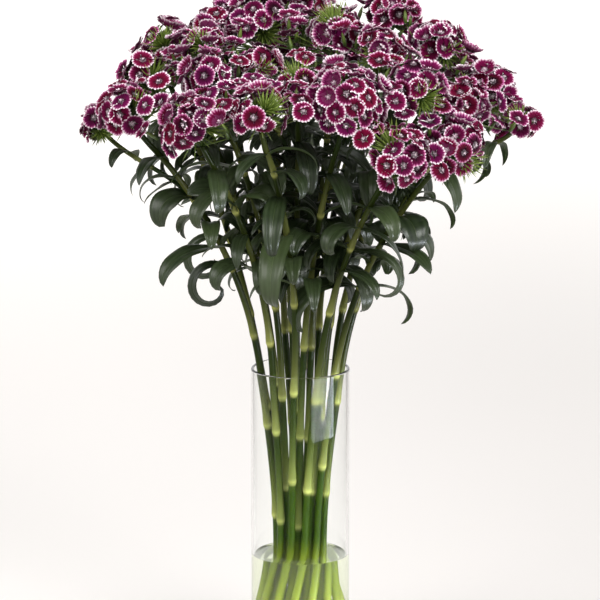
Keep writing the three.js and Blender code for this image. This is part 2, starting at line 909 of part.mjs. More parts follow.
function waterSolid() {
  const wide = vase.radius - vase.wall - gap;
  const floor = vase.floor + gap;
  const profile = [
    [0, floor],
    [wide - vase.rounding, floor],
    [wide, floor + vase.rounding],
    [wide, water.level],
    [0, water.level],
  ];
  const points = profile.map(([x, y]) => new THREE.Vector2(x, y));
  const fill = solidOf(new THREE.LatheGeometry(points, water.sides).rotateX(Math.PI / 2));
  return cutBy(fill, plans.map(stemHole));
}

// The hole in the water that a stem stands in, which runs out of the water at both ends.
function stemHole(plan) {
  const { path } = plan;
  const past = stem.holePast;
  const foot = path.points[0];
  const below = foot.clone().addScaledVector(path.points[1].clone().sub(foot).normalize(), -past);
  const longer = measured([below, ...path.points]);
  const [bend, top] = stem.bendsAt.map((height) => runAtHeight(path, height) + past);
  const radius = stem.footRadius;
  return tube(longer, [0, top], [past, bend], [], [radius, radius], water.stemGap);
}

const object = new THREE.Group();
const matt = { roughness: 0.55, metalness: 0 };
const clear = { roughness: 0.03, metalness: 0, transparent: true, opacity: 0.3 };

object.add(meshOf('vase', vaseSolid(), colours.glass, clear));
object.add(meshOf('water', waterSolid(), colours.water, clear));
stemSolids.forEach((solid, index) => {
  const name = `stem_${String(index + 1).padStart(2, '0')}`;
  object.add(meshOf(name, solid, colours.stem, matt));
});
headSolids.forEach((solid, index) => {
  const name = `head_${String(index + 1).padStart(2, '0')}`;
  object.add(meshOf(name, solid, colours.petals, matt));
});

export default object;
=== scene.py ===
import math

import bpy
import numpy as np
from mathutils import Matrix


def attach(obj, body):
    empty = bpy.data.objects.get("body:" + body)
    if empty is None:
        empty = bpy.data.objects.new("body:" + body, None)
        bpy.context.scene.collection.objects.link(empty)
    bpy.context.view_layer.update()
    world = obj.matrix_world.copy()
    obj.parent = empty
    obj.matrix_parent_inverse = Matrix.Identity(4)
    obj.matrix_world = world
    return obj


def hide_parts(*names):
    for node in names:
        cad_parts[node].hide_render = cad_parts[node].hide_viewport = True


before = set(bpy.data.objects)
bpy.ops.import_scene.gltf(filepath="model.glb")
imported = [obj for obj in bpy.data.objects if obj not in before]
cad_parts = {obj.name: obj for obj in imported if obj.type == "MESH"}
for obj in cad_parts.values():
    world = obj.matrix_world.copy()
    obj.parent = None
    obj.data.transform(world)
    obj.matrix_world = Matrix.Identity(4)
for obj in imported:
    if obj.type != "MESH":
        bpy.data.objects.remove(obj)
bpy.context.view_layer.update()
mm = 0.001
upright = np.array([0.0, 0.0, 1.0])
turnDrawn = 6.28  # radians, what a phase or a twist is drawn from



def seededDraw(seed, step=0, number=0, factor=16807, modulus=2147483647):
    # Park and Miller's row of numbers: each is the last times the factor, modulo the modulus. The
    # first is the seed, with a step for the number of the stem or head
    state = [seed + step * number]

    def draw(low, high):
        state[0] = state[0] * factor % modulus
        return low + ((high - low) * state[0]) / modulus
    return draw


def unit(v):
    v = np.asarray(v, float)
    return v / np.linalg.norm(v, axis=-1, keepdims=True)


# The bunch, in millimetres and degrees, as the model has it
vase = {"radius": 50, "height": 300, "wall": 3, "floor": 12}
bunch = {"rings": (6, 15, 24), "waist": 115, "spread": (82, 128), "turn": (0.388, 0.081),
         "turnAtWaist": -15, "outwardPower": 2.1, "inVase": 40, "above": 60}
stem = {"foot": 3.5, "top": 2.5, "branch": 2.1, "closeStep": 72, "wideStep": 95, "closeFrom": 320,
        "lowest": 125, "belowHead": 30, "bentEnd": 60, "endPoints": 14,
        "splay": 0.8, "forkAbove": 4, "branchPoints": 20, "branchJoint": 0.5, "footGap": 0.3,
        "markEvery": 6, "markBelowRim": 20}
leaf = {"footWide": 2.4, "belowJoint": 2, "long": (62, 92), "wide": (13, 19), "leave": (36, 60),
        "end": (115, 200), "bend": (0.9, 1.5), "roll": (-35, 35), "swing": 38, "tries": 14,
        "branchShare": 0.55, "steps": 40, "ballShare": 0.4, "ownRoom": 25, "belly": 0.8,
        "blunt": 0.75, "curlPower": 5, "markStep": 5, "testFrom": 10}
head = {"upPull": 0.6, "stemPull": 0.3, "stemReach": 0.72, "ballShare": 0.9,
        "domeMiddle": (0, 0, 525), "domeReach": (180, 188, 112)}

# Each head: its middle, its radius, and the side x, z of its green tuft
heads = [
    ((-171, -85, 576), 28, (0.85, 0.3)), ((-203, 1, 547), 20, (0.4, -0.5)),
    ((-104, -144, 573), 36, (0.85, 0.0)), ((-40, -166, 588), 30, (0.55, 0.4)),
    ((44, -150, 596), 40, None), ((96, -165, 545), 32, (-0.6, 0.7)),
    ((150, -112, 543), 34, (0.6, -0.65)), ((163, -62, 580), 26, None),
    ((112, -112, 600), 33, (0.45, -0.3)), ((78, -85, 641), 24, (-0.35, -0.7)),
    ((188, 15, 582), 30, (0.35, -0.85)), ((222, -20, 556), 20, (-0.5, 0.3)),
    ((138, 40, 622), 32, (0.55, -0.5)), ((93, 85, 647), 32, None),
    ((38, -30, 645), 30, (-0.4, 0.8)), ((-2, -97, 598), 28, (-0.1, 0.9)),
    ((-40, -68, 620), 22, (0.2, -0.4)), ((-43, 12, 648), 36, (0.4, -0.4)),
    ((-89, -88, 611), 29, None), ((-93, -35, 635), 24, (-0.4, 0.1)),
    ((-130, 44, 619), 32, (-0.45, 0.3)), ((-152, -25, 598), 32, (0.5, 0.2)),
    ((4, 66, 655), 28, None), ((5, 130, 628), 34, (0.3, 0.4)),
    ((-142, 116, 592), 34, (-0.3, -0.2)), ((-165, 75, 550), 26, None),
    ((-80, 112, 625), 34, None), ((-96, 172, 573), 36, (0.4, 0.4)),
    ((-12, 188, 580), 36, (0.5, -0.4)), ((80, 165, 585), 36, (-0.2, 0.5)),
    ((148, 110, 590), 34, (0.5, 0.3)), ((190, 75, 545), 26, None),
]

# Each stem: its head, the head of its branch or 0, its ring, its angle and the height of a joint
stems = [
    (1, 2, 2, 196, 409), (3, 0, 2, 229, 334), (4, 0, 2, 262, 450), (5, 0, 1, 275, 400),
    (6, 0, 2, 295, 440), (7, 8, 2, 327, 392), (9, 10, 1, 326, 436), (11, 12, 2, 0, 432),
    (13, 0, 1, 17, 415), (14, 0, 1, 69, 392), (15, 0, 0, 350, 394), (16, 17, 0, 250, 426),
    (18, 0, 0, 130, 410), (19, 20, 1, 223, 440), (21, 22, 1, 172, 450), (23, 24, 1, 120, 478),
    (25, 26, 2, 164, 424), (27, 28, 2, 131, 448), (29, 0, 2, 98, 430), (30, 0, 2, 65, 405),
    (31, 32, 2, 33, 425),
]

# Leaves of a set shape, by stem: the height of their joint, then these numbers, of which start and
# end are angles from upright, and bend says how late the leaf bends
leafNumbers = ("toward", "long", "wide", "start", "end", "bend", "roll")
setLeaves = {
    1: [(409, 183, 108, 13, 58, 335, 1.15, 15), (409, -30, 60, 14, 50, 130, 1.2, 0),
        (481, 205, 66, 21, 42, 200, 1.0, 50), (481, -40, 55, 20, 40, 150, 1.2, 20)],
    2: [(406, 215, 78, 17, 35, 170, 1.2, 30), (406, 35, 74, 16, 40, 140, 1.2, 0),
        (478, 190, 62, 24, 15, 120, 1.0, 45), (478, -35, 64, 23, 20, 125, 1.1, -30)],
    3: [(450, 255, 122, 20, 45, 184, 0.62, -15), (450, 60, 70, 17, 45, 150, 1.2, 0),
        (522, -45, 60, 16, 50, 172, 0.9, 10), (522, 160, 62, 17, 40, 150, 1.2, 10)],
    5: [(440, -8, 106, 13, 92, 335, 2.0, 10), (440, 190, 64, 18, 50, 175, 1.0, 20)],
    6: [(392, 198, 104, 20, 72, 205, 1.5, 40), (392, 6, 82, 14, 82, 235, 1.8, 20),
        (464, -62, 72, 24, 45, 178, 0.9, 0), (464, 150, 66, 18, 45, 160, 1.1, 0)],
    8: [(432, -25, 84, 21, 40, 188, 1.0, 5), (432, 150, 62, 17, 45, 160, 1.1, 0),
        (504, -38, 66, 17, 75, 188, 0.8, 0), (534, 20, 82, 9, 78, 235, 1.1, 15)],
    17: [(424, 178, 112, 13, 56, 325, 1.2, 20), (424, 20, 66, 16, 45, 150, 1.1, 0)],
    21: [(425, -2, 98, 19, 50, 212, 1.1, 25), (425, 120, 70, 17, 45, 150, 1.1, 0)],
}
# Pairs of leaves: one at each upper joint, and young ones between the joints of the upper stems,
# where the joints stand closer
leafPairs = [{"seeds": (1000, 71), "aboveJoint": (0,), "from": 385, "belowHead": 0,
              "branchAt": (stem["branchJoint"],), "branchTurn": 0},
             {"seeds": (2000, 71), "aboveJoint": (24, 48), "from": 401, "belowHead": 14,
              "size": (0.7, 1.0), "branchAt": (0.25, 0.78), "branchTurn": 45}]


def bunchPoint(ring, angle, height):
    # A stem lies on a waisted, slightly twisted shell: its reach grows as the root of one plus the
    # square of the height above the waist, and its bearing turns evenly with that height
    rise = height - bunch["waist"]
    side = 1 if rise > 0 else 0
    reach = bunch["rings"][ring] * math.sqrt(1 + (rise / bunch["spread"][side]) ** 2)
    bearing = math.radians(angle + bunch["turnAtWaist"] + bunch["turn"][side] * rise)
    return np.array([reach * math.cos(bearing), reach * math.sin(bearing), height])


def measured(points):
    points = np.array(points)
    run = np.concatenate([[0.0], np.cumsum(np.linalg.norm(np.diff(points, axis=0), axis=1))])
    return {"points": points, "run": run, "length": run[-1]}


def placeOn(path, distance):
    # The point at a distance along the path, and the direction of the path's piece there
    i = int(np.clip(np.searchsorted(path["run"], distance), 1, len(path["run"]) - 1))
    a, b = path["points"][i - 1], path["points"][i]
    share = (distance - path["run"][i - 1]) / (path["run"][i] - path["run"][i - 1])
    return a + (b - a) * share, unit(b - a)


def runAtHeight(path, height):
    i = int(np.argmax(path["points"][:, 2] >= height))
    (low, high), (start, end) = path["points"][i - 1:i + 1, 2], path["run"][i - 1:i + 1]
    return start + (height - low) / (high - low) * (end - start)


def easedCurve(start, startWay, end, endWay, count):
    # A cubic Bezier curve whose handles are a third of the distance long
    third = np.linalg.norm(end - start) / 3
    t = np.linspace(0, 1, count)[:, None]
    a, b = start + startWay * third, end - endWay * third
    return (1 - t) ** 3 * start + 3 * t * (1 - t) ** 2 * a + 3 * t * t * (1 - t) * b + t ** 3 * end


def headFrame(number, rimPoint):
    at, size, _ = heads[number - 1]
    middle = np.array(at, float)
    reach = np.array(head["domeReach"], float)
    outward = unit((middle - np.array(head["domeMiddle"])) / reach / reach)
    axis = unit(outward + upright * head["upPull"] + unit(middle - rimPoint) * head["stemPull"])
    foot = middle - axis * head["stemReach"] * size
    return {"number": number, "middle": middle, "size": size, "axis": axis, "foot": foot}


def axesAcross(axis):
    side = unit(np.array([1.0, 0.0, 0.0]) - axis * axis[0])
    return side, np.cross(axis, side)


def around(axis, turn, rise=0, out=1):
    # Directions at the given turns about an axis, which rise along it and reach out from it
    side, other = axesAcross(axis)
    return (np.outer(rise, axis) + np.outer(out * np.cos(turn), side)
            + np.outer(out * np.sin(turn), other))


def stemPath(top, ring, angle):
    # Up to the rim a stem follows the bunch; above it, it runs on and is drawn out to its head by
    # a power of the share of the climb
    floorPoint = bunchPoint(ring, angle, vase["floor"])
    floorWay = unit(bunchPoint(ring, angle, vase["floor"] + 1) - floorPoint)
    start = vase["floor"] + stem["footGap"] + stem["foot"] * math.hypot(floorWay[0], floorWay[1])
    rim = bunchPoint(ring, angle, vase["height"])
    slope = rim - bunchPoint(ring, angle, vase["height"] - 1)
    place = headFrame(top, rim)
    climb = place["foot"][2] - vase["height"]
    drawn = place["foot"] - (rim + slope * climb)
    step = (vase["height"] - start) / bunch["inVase"]
    points = [bunchPoint(ring, angle, start + step * i) for i in range(bunch["inVase"])]
    share = np.linspace(0, 1, bunch["above"])[:, None]
    points = np.concatenate([points, rim + slope * climb * share
                             + drawn * share ** bunch["outwardPower"]])
    whole = measured(points)
    bend = int(np.argmax(whole["run"] >= whole["length"] - stem["bentEnd"]))
    way = unit(points[bend + 1] - points[bend - 1])
    end = easedCurve(points[bend], way, place["foot"], place["axis"], stem["endPoints"])
    return measured(np.concatenate([points[:bend], end])), place, rim


def branchPath(number, joint, path, rim):
    place = headFrame(number, rim)
    start, along = placeOn(path, runAtHeight(path, joint + stem["closeStep"]) + stem["forkAbove"])
    way = unit(along + unit(place["foot"] - start) * stem["splay"])
    end = easedCurve(start, way, place["foot"], place["axis"], stem["branchPoints"])
    return measured(end), place


def jointHeights(height, top):
    while height + stem["closeStep"] < top - stem["belowHead"]:
        height += stem["closeStep"]
    found = []
    while height > stem["lowest"]:
        found.append(height)
        close = height - stem["closeStep"] > stem["closeFrom"]
        height -= stem["closeStep"] if close else stem["wideStep"]
    return found


def leafLine(root, shape):
    # The leaf's angle from upright runs from start to end as the share of its length to the power
    # bend, and a curl is added near the tip; its middle line is the sum of small steps at those
    # angles
    share = np.linspace(0, 1, leaf["steps"] + 1)
    angle = shape["start"] + (shape["end"] - shape["start"]) * share ** shape["bend"]
    angle = np.radians(angle + shape.get("tipCurl", 0) * share ** leaf["curlPower"])
    bearing = math.radians(shape["toward"])
    outward = np.array([math.cos(bearing), math.sin(bearing), 0.0])
    along = np.outer(np.sin(angle), outward) + np.outer(np.cos(angle), upright)
    face = np.outer(-np.cos(angle), outward) + np.outer(np.sin(angle), upright)
    steps = np.cumsum(along, axis=0) - along
    return root + steps * shape["long"] / leaf["steps"], along, face, share


def leafWidth(share, wide, blunt=leaf["blunt"]):
    # Lance-shaped: the sine of pi times the share to the power belly, to the power blunt
    full = np.maximum(np.sin(np.pi * share ** leaf["belly"]), 0) ** blunt
    return np.maximum(leaf["footWide"] * (1 - share), wide * full)


balls = []  # what a new leaf keeps clear of: x, y, z, radius and owner


def markPath(path, radius, owner):
    for run in np.arange(0, path["length"], stem["markEvery"]):
        at = placeOn(path, run)[0]
        if at[2] > vase["height"] - stem["markBelowRim"]:
            balls.append((*at, radius, owner))


def leafBalls(root, shape, first=0):
    at, _, _, share = leafLine(root, shape)
    radius = leafWidth(share, shape["wide"]) * leaf["ballShare"]
    return at[first::leaf["markStep"]], radius[first::leaf["markStep"]]


def clearance(root, shape, owner, known):
    at, radius = leafBalls(root, shape, leaf["testFrom"])
    away = np.linalg.norm(at[:, None] - known[:, :3], axis=2) - known[:, 3] - radius[:, None]
    far = np.linalg.norm(at - root, axis=1) > leaf["ownRoom"]
    counts = (known[:, 4] != owner) | far[:, None]
    return np.where(counts, away, np.inf).min()


def chosenLeaf(root, stemWay, toward, size, owner, draw):
    # Of several draws, the leaf that keeps clearest of what stands there
    known, tries = np.array(balls), []
    for _ in range(leaf["tries"]):
        bearing = toward + draw(-leaf["swing"], leaf["swing"])
        outward = (math.cos(math.radians(bearing)), math.sin(math.radians(bearing)), 0)
        lean = math.degrees(math.atan2(np.dot(stemWay, outward), stemWay[2]))
        tries.append({"toward": bearing, "long": size * draw(*leaf["long"]),
                      "wide": size * draw(*leaf["wide"]), "start": lean + draw(*leaf["leave"]),
                      "end": draw(*leaf["end"]), "bend": draw(*leaf["bend"]),
                      "roll": draw(*leaf["roll"])})
    return max(tries, key=lambda shape: clearance(root, shape, owner, known))


def addLeaf(plan, root, shape):
    plan["leaves"].append((root, shape))
    for at, radius in zip(*leafBalls(root, shape)):
        balls.append((*at, radius, plan["owner"]))


def growLeaves(plan, rule):
    # Pairs on the stem, each a quarter turn on from the pair below, then those on the branch
    path, place = plan["ways"][0]
    draw = seededDraw(*rule["seeds"], plan["owner"])
    facing = draw(0, 360)
    already = [numbers[0] for numbers in setLeaves.get(plan["owner"], [])]
    top = place["foot"][2] - rule["belowHead"]
    heights = [joint + step for joint in plan["joints"] for step in rule["aboveJoint"]]
    sites = [(path, runAtHeight(path, height), facing + 90 * i,
              draw(*rule["size"]) if "size" in rule else 1) for i, height in enumerate(heights)
             if rule["from"] <= height < top and height not in already]
    sites += [(side, side["length"] * share, facing + rule["branchTurn"], leaf["branchShare"])
              for side, _ in plan["ways"][1:] for share in rule["branchAt"]]
    for path, run, toward, size in sites:
        root, along = placeOn(path, run - leaf["belowJoint"])
        for half in (0, 180):
            addLeaf(plan, root, chosenLeaf(root, along, toward + half, size, plan["owner"], draw))


def makePlans():
    plans = []
    for owner, (top, branch, ring, angle, joint) in enumerate(stems, 1):
        path, place, rim = stemPath(top, ring, angle)
        ways = [(path, place)] + ([branchPath(branch, joint, path, rim)] if branch else [])
        plans.append({"owner": owner, "ways": ways, "leaves": [],
                      "joints": jointHeights(joint, place["foot"][2])})
    for plan in plans:
        for (path, place), radius in zip(plan["ways"], (stem["foot"], stem["branch"])):
            markPath(path, radius, plan["owner"])
            balls.append((*place["middle"], place["size"] * head["ballShare"], 0))
    for plan in plans:
        path = plan["ways"][0][0]
        for joint, *numbers in setLeaves.get(plan["owner"], []):
            root = placeOn(path, runAtHeight(path, joint) - leaf["belowJoint"])[0]
            addLeaf(plan, root, dict(zip(leafNumbers, numbers)))
    for rule in leafPairs:
        for plan in plans:
            growLeaves(plan, rule)
    return plans


plans = makePlans()
print(f"bunch laid out: {len(plans)} stems, {sum(len(p['leaves']) for p in plans)} leaves")


def gridFaces(rows, columns, closed):
    # Quads of a grid of vertices, row by row; a closed grid joins its last column to its first
    last = columns if closed else columns - 1
    row, column = np.meshgrid(np.arange(rows - 1), np.arange(last), indexing="ij")
    after = (column + 1) % columns
    faces = np.stack([row * columns + column, row * columns + after,
                      (row + 1) * columns + after, (row + 1) * columns + column], axis=-1)
    return faces.reshape(-1, 4)


sharpFrom = 110  # degrees between two faces at a thin sheet's edge


def shown(name, data):
    made = bpy.data.objects.new(name, data)
    bpy.context.scene.collection.objects.link(made)
    return made


class Heap:
    # Gathers vertices, faces and named values of each vertex for one mesh
    def __init__(self):
        self.points, self.quads, self.tris, self.values, self.count = [], [], [], {}, 0

    def add(self, points, quads, tris, **values):
        points = np.asarray(points, float).reshape(-1, 3)
        self.points.append(points)
        self.quads.append(np.asarray(quads, int).reshape(-1, 4) + self.count)
        self.tris.append(np.asarray(tris, int).reshape(-1, 3) + self.count)
        for name, value in values.items():
            value = np.broadcast_to(np.asarray(value, float).reshape(-1, 1), (len(points), 1))
            self.values.setdefault(name, []).append(value[:, 0])
        self.count += len(points)

    def build(self, name, material, slot, replaced, thinSheets=False):
        mesh = bpy.data.meshes.new(name)
        faces = [*np.concatenate(self.quads).tolist(), *np.concatenate(self.tris).tolist()]
        mesh.from_pydata((np.concatenate(self.points) * mm).tolist(), [], faces, shade_flat=False)
        for key, value in self.values.items():
            layer = mesh.attributes.new(key, "FLOAT", "POINT")
            layer.data.foreach_set("value", np.concatenate(value).astype(np.float32))
        mesh.update(calc_edges=True)
        mesh.validate()
        if thinSheets:  # each side keeps its own shading up to the edge
            mesh.set_sharp_from_angle(angle=math.radians(sharpFrom))
        mesh.materials.append(material)
        piece = shown(name, mesh)
        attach(piece, "root")
        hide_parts(replaced)


def sections(middles, across, lift, outline):
    # Carries an outline along a path: each corner is the path's point plus its two shares of the
    # directions across and up
    return middles[:, None] + across[:, None] * outline[..., :1] + lift[:, None] * outline[..., 1:]


def closedTube(rings, ends=None):
    # Faces of a tube of rings; a fan closes its first and its last ring on an end point, which is
    # the ring's middle if none is given
    rows, sides = rings.shape[:2]
    ends = [rings[0].mean(0), rings[-1].mean(0)] if ends is None else ends
    side = np.arange(sides)
    after = (side + 1) % sides
    low = np.stack([np.full(sides, rows * sides), after, side], axis=1)
    top = (rows - 1) * sides
    high = np.stack([np.full(sides, rows * sides + 1), top + side, top + after], axis=1)
    return (np.concatenate([rings.reshape(-1, 3), ends]), gridFaces(rows, sides, True),
            np.concatenate([low, high]))


def ringValues(values, sides):
    # One value for all points of each ring of a closed tube
    return np.concatenate([np.repeat(values, sides), [values[0], values[-1]]])


def linear(hexColour):
    parts = [int(hexColour[i:i + 2], 16) / 255 for i in (1, 3, 5)]
    return (*(c / 12.92 if c <= 0.04045 else ((c + 0.055) / 1.055) ** 2.4 for c in parts), 1.0)


def node(tree, kind, inputs=(), output=0, **settings):
    # Adds a node with its settings, fills or links its inputs, and gives back one of its outputs
    made = tree.nodes.new(f"ShaderNode{kind}")
    for key, value in settings.items():
        setattr(made, key, value)
    for key, value in inputs.items() if isinstance(inputs, dict) else enumerate(inputs):
        if isinstance(value, bpy.types.NodeSocket):
            tree.links.new(value, made.inputs[key])
        else:
            made.inputs[key].default_value = linear(value) if isinstance(value, str) else value
    return made.outputs[output] if made.outputs else None


def newMaterial(name):
    material = bpy.data.materials.new(name)
    material.use_nodes = True
    material.node_tree.nodes.clear()
    return material, material.node_tree


def grained(name, look):
    # A new material with a noise: the look's grain is the size of a lump in millimetres, and its
    # detail
    material, tree = newMaterial(name)
    where = node(tree, "TexCoord", output="Object")
    where = node(tree, "Mapping", {"Vector": where, "Scale": look.get("stretch", (1, 1, 1))})
    size, detail = look["grain"]
    noise = node(tree, "TexNoise", {"Vector": where, "Scale": 1 / (size * mm), "Detail": detail})
    return material, tree, noise


def painted(material, tree, look, masks, height, **inputs):
    # Lays each coat, a share and a colour, over the ground, by the mask of its name or else by the
    # mesh's own value of that name
    colour = look["ground"]
    for name, (share, coat) in look["coats"].items():
        if name not in masks:
            masks[name] = node(tree, "Attribute", output="Fac", attribute_name=name)
        mask = node(tree, "Math", [masks[name], share], operation="MULTIPLY")
        colour = node(tree, "Mix", {0: mask, 6: colour, 7: coat}, 2, data_type="RGBA")
    strength, distance = look["bump"]
    bump = node(tree, "Bump", {"Height": height, "Strength": strength, "Distance": distance * mm})
    shader = node(tree, "BsdfPrincipled", {
        "Base Color": colour, "Roughness": look["roughness"], "Normal": bump,
        "Specular IOR Level": look["specular"], **inputs})
    node(tree, "OutputMaterial", {"Surface": shader})
    return material


# Petals of sweet william: a velvet of tiny cone cells, so matt with a soft sheen at the edges. A
# pale eye, and a crimson ring, darkest beside the eye, that feathers into a white margin. Each span
# gives the shares of the petal's length at which a coat starts and is full
petalLook = {"ground": "#780432", "grain": (1.6, 2.0), "bump": (0.3, 0.3), "roughness": 0.85,
             "specular": 0.1, "sheen": (0.02, 0.4), "veinsPerPetal": 5, "veinShare": 0.06,
             "roughShare": 0.2, "marginVaries": 0.12, "deepShare": 0.55,
             "coats": {"tone": (1, "#6c0a4e"), "shade": (1, "#1e010c"), "blush": (1, "#bc5a94"),
                       # the backs' coat is partly the petal's own colour and partly painted shade:
                       # darker, for the shade between the florets
                       "margin": (1, "#fff8fb"), "eye": (1, "#fff0f8"), "under": (1, "#6c2a50")},
             "spans": {"shade": (0.75, -0.01923), "blush": (0.74, 0.90667),
                       "margin": (0.8, 0.98182), "eye": (0.23, 0.15857)}}


def petalMaterial():
    look = petalLook
    material, tree, grain = grained("velvet petal", look)
    out, turn, deep = (node(tree, "Attribute", output="Fac", attribute_name=name)
                       for name in ("out", "turn", "deep"))
    # one streak runs out to each tooth: less the cosine of the turn times the veins
    wave = node(tree, "Math", [turn, 2 * math.pi * look["veinsPerPetal"]], operation="MULTIPLY")
    vein = node(tree, "Math", [node(tree, "Math", [wave], operation="COSINE"), -1],
                operation="MULTIPLY")
    rough = node(tree, "Math", [grain, 0.5], operation="SUBTRACT")
    edge = node(tree, "Math", [vein, look["veinShare"], out], operation="MULTIPLY_ADD")
    edge = node(tree, "Math", [rough, look["roughShare"], edge], operation="MULTIPLY_ADD")
    # the darker a floret, the narrower its margin
    rim = node(tree, "Math", [deep, -look["marginVaries"], edge], operation="MULTIPLY_ADD")
    masks = {name: node(tree, "MapRange", [rim if name == "margin" else edge, *span])
             for name, span in look["spans"].items()}
    masks["shade"] = node(tree, "Math", [deep, look["deepShare"], masks["shade"]],
                          operation="MULTIPLY_ADD", use_clamp=True)
    weight, roughness = look["sheen"]
    return painted(material, tree, look, masks, vein,
                   **{"Sheen Weight": weight, "Sheen Roughness": roughness})


# Sweet william's leaf: dark green under a thin grey wax, which glances softly. Its veins run from
# end to end in shallow grooves, with a painted highlight in lighter bands on the ridges between
# them
leafLook = {"ground": "#0c1508", "grain": (14, 3.0), "bump": (0.45, 0.5), "roughness": 0.37,
            "specular": 0.5, "ribs": 2, "grooveDeep": -0.5, "midrib": (0.06, 0.00444),
            # one coat is a painted highlight on the ridges between the vein grooves
            "coats": {"grain": (1, "#213216"), "tone": (0.5, "#4c5a36"), "paintedRidgeHighlight": (0.1, "#536344"),
                      "midrib": (0.4, "#5f7048"), "under": (1, "#43532f")}}


def leafMaterial():
    look = leafLook
    material, tree, grain = grained("waxy leaf", look)
    across = node(tree, "Attribute", output="Fac", attribute_name="across")
    away = node(tree, "Math", [across], operation="ABSOLUTE")
    midrib = node(tree, "MapRange", [away, *look["midrib"]])
    wave = node(tree, "Math", [across, 2 * math.pi * look["ribs"]], operation="MULTIPLY")
    grooves = node(tree, "Math", [wave], operation="COSINE")
    # painted highlight: lighter on the ridges between the grooves, where the bump stands highest
    paintedRidgeHighlight = node(tree, "Math", [1, grooves], operation="SUBTRACT")
    height = node(tree, "Math", [grooves, look["grooveDeep"]], operation="MULTIPLY")
    height = node(tree, "Math", [height, midrib], operation="SUBTRACT")
    masks = {"grain": grain, "paintedRidgeHighlight": paintedRidgeHighlight, "midrib": midrib}
    return painted(material, tree, look, masks, height)


# A smooth, round, waxy stem: dark at the top with painted shade under the heads, greener in the
# vase, where its painted light is brighter, pale just above each joint, where it last grew, and
# bleached under the water
stemLook = {"ground": "#182a06", "grain": (1.42857, 2.0), "stretch": (1, 1, 0.05),
            "bump": (0.2, 0.3), "roughness": 0.27, "specular": 0.14,
            "coats": {"light": (1, "#567a0a"), "grain": (0.5, "#182a06"), "wet": (1, "#98a430"),
                      "young": (1, "#bcc06c")}}
# Young bracts and calyces: bright yellow-green, rough and half matt, paler at the points; the tone
# coat darkens them, most for the calyces and the bracts deep in the heads, as painted shade
tuftLook = {"ground": "#4d6c1c", "grain": (0.8, 2.0), "bump": (0.3, 0.2), "roughness": 0.45,
            "specular": 0.5, "coats": {"along": (1, "#94a84a"), "tone": (0.8, "#2b4312")}}


def grainMaterial(name, look):
    material, tree, grain = grained(name, look)
    return painted(material, tree, look, {"grain": grain}, grain)


# Drawn soda-lime glass, thin and even: clear, smooth, glancing only weakly
glassLook = {"tint": "#fefffe", "roughness": 0, "ior": 1.52, "clear": 1, "gloss": "#585858",
             "shadow": "#f4f7f6"}
# Water that stems have stood in: a trace of cloud gives back a little pale green light
waterLook = {"tint": "#f8fbe9", "roughness": 0, "ior": 1.333, "clear": 0.96, "gloss": "#e4e4e4",
             "shadow": "#f8faf0"}


def clearMaterial(name, look):
    # A clear body that lets light through to what stands in it: its shadow is a tinted veil
    material, tree = newMaterial(name)
    clear = node(tree, "BsdfPrincipled", {
        "Base Color": look["tint"], "Roughness": look["roughness"], "IOR": look["ior"],
        "Transmission Weight": look["clear"], "Specular Tint": look["gloss"]})
    veil = node(tree, "BsdfTransparent", {"Color": look["shadow"]})
    isShadow = node(tree, "LightPath", output="Is Shadow Ray")
    both = node(tree, "MixShader", [isShadow, clear, veil])
    node(tree, "OutputMaterial", {"Surface": both})
    return material


petalFinish = petalMaterial()
leafFinish = leafMaterial()
stemFinish = grainMaterial("waxy stem", stemLook)
tuftFinish = grainMaterial("young bract", tuftLook)
glassFinish = clearMaterial("soda-lime glass", glassLook)
waterFinish = clearMaterial("vase water", waterLook)
print("materials made")

# In millimetres; the water's surface is flat from stillFrom of its reach inwards
vaseShape = {"sides": 160, "rounding": 1.45, "roundRows": 7, "heel": 3.0, "hold": 0.3,
             "holdFrom": 1.2}
waterShape = {"level": 105, "intoGlass": 0.25, "meniscus": 1.2, "meniscusWide": 4.0,
              "meniscusRows": 9, "stillFrom": 0.5}


def held(profile):
    # Two more points just inside the ends of each long run keep its shading straight
    points = [np.array(profile[0], float)]
    for end in np.array(profile[1:], float):
        start = points[-1]
        if np.linalg.norm(end - start) > vaseShape["holdFrom"]:
            step = unit(end - start) * vaseShape["hold"]
            points += [start + step, end - step]
        points.append(end)
    return np.array(points)


def turned(profile, sides):
    # A profile of reach and height carried round the axis; its ends lie on the axis
    profile = held(profile)
    turn = np.linspace(0, 2 * np.pi, sides, endpoint=False)
    inner = profile[1:-1]
    rings = np.stack([inner[:, :1] * np.cos(turn), inner[:, :1] * np.sin(turn),
                      np.repeat(inner[:, 1:], sides, axis=1)], axis=-1)
    return closedTube(rings, [[0, 0, profile[0, 1]], [0, 0, profile[-1, 1]]])


def corner(middle, radius, start, stop, rows=vaseShape["roundRows"]):
    # Part of a round: points at even angles about its middle
    angle = np.radians(np.linspace(start, stop, rows))
    return [(middle[0] + radius * math.cos(a), middle[1] + radius * math.sin(a)) for a in angle]


def makeVase():
    outer, inner = vase["radius"], vase["radius"] - vase["wall"]
    r, heel, top, floor = vaseShape["rounding"], vaseShape["heel"], vase["height"], vase["floor"]
    profile = [(0, 0)] + corner((outer - r, r), r, -90, 0)
    profile += corner((outer - r, top - r), r, 0, 90)[:-1]
    profile += corner((inner + r, top - r), r, 90, 180)
    profile += corner((inner - heel, floor + heel), heel, 0, -90) + [(0, floor)]
    heap = Heap()
    heap.add(*turned(profile, vaseShape["sides"]))
    heap.build("vase_glass", glassFinish, "glass", "vase")


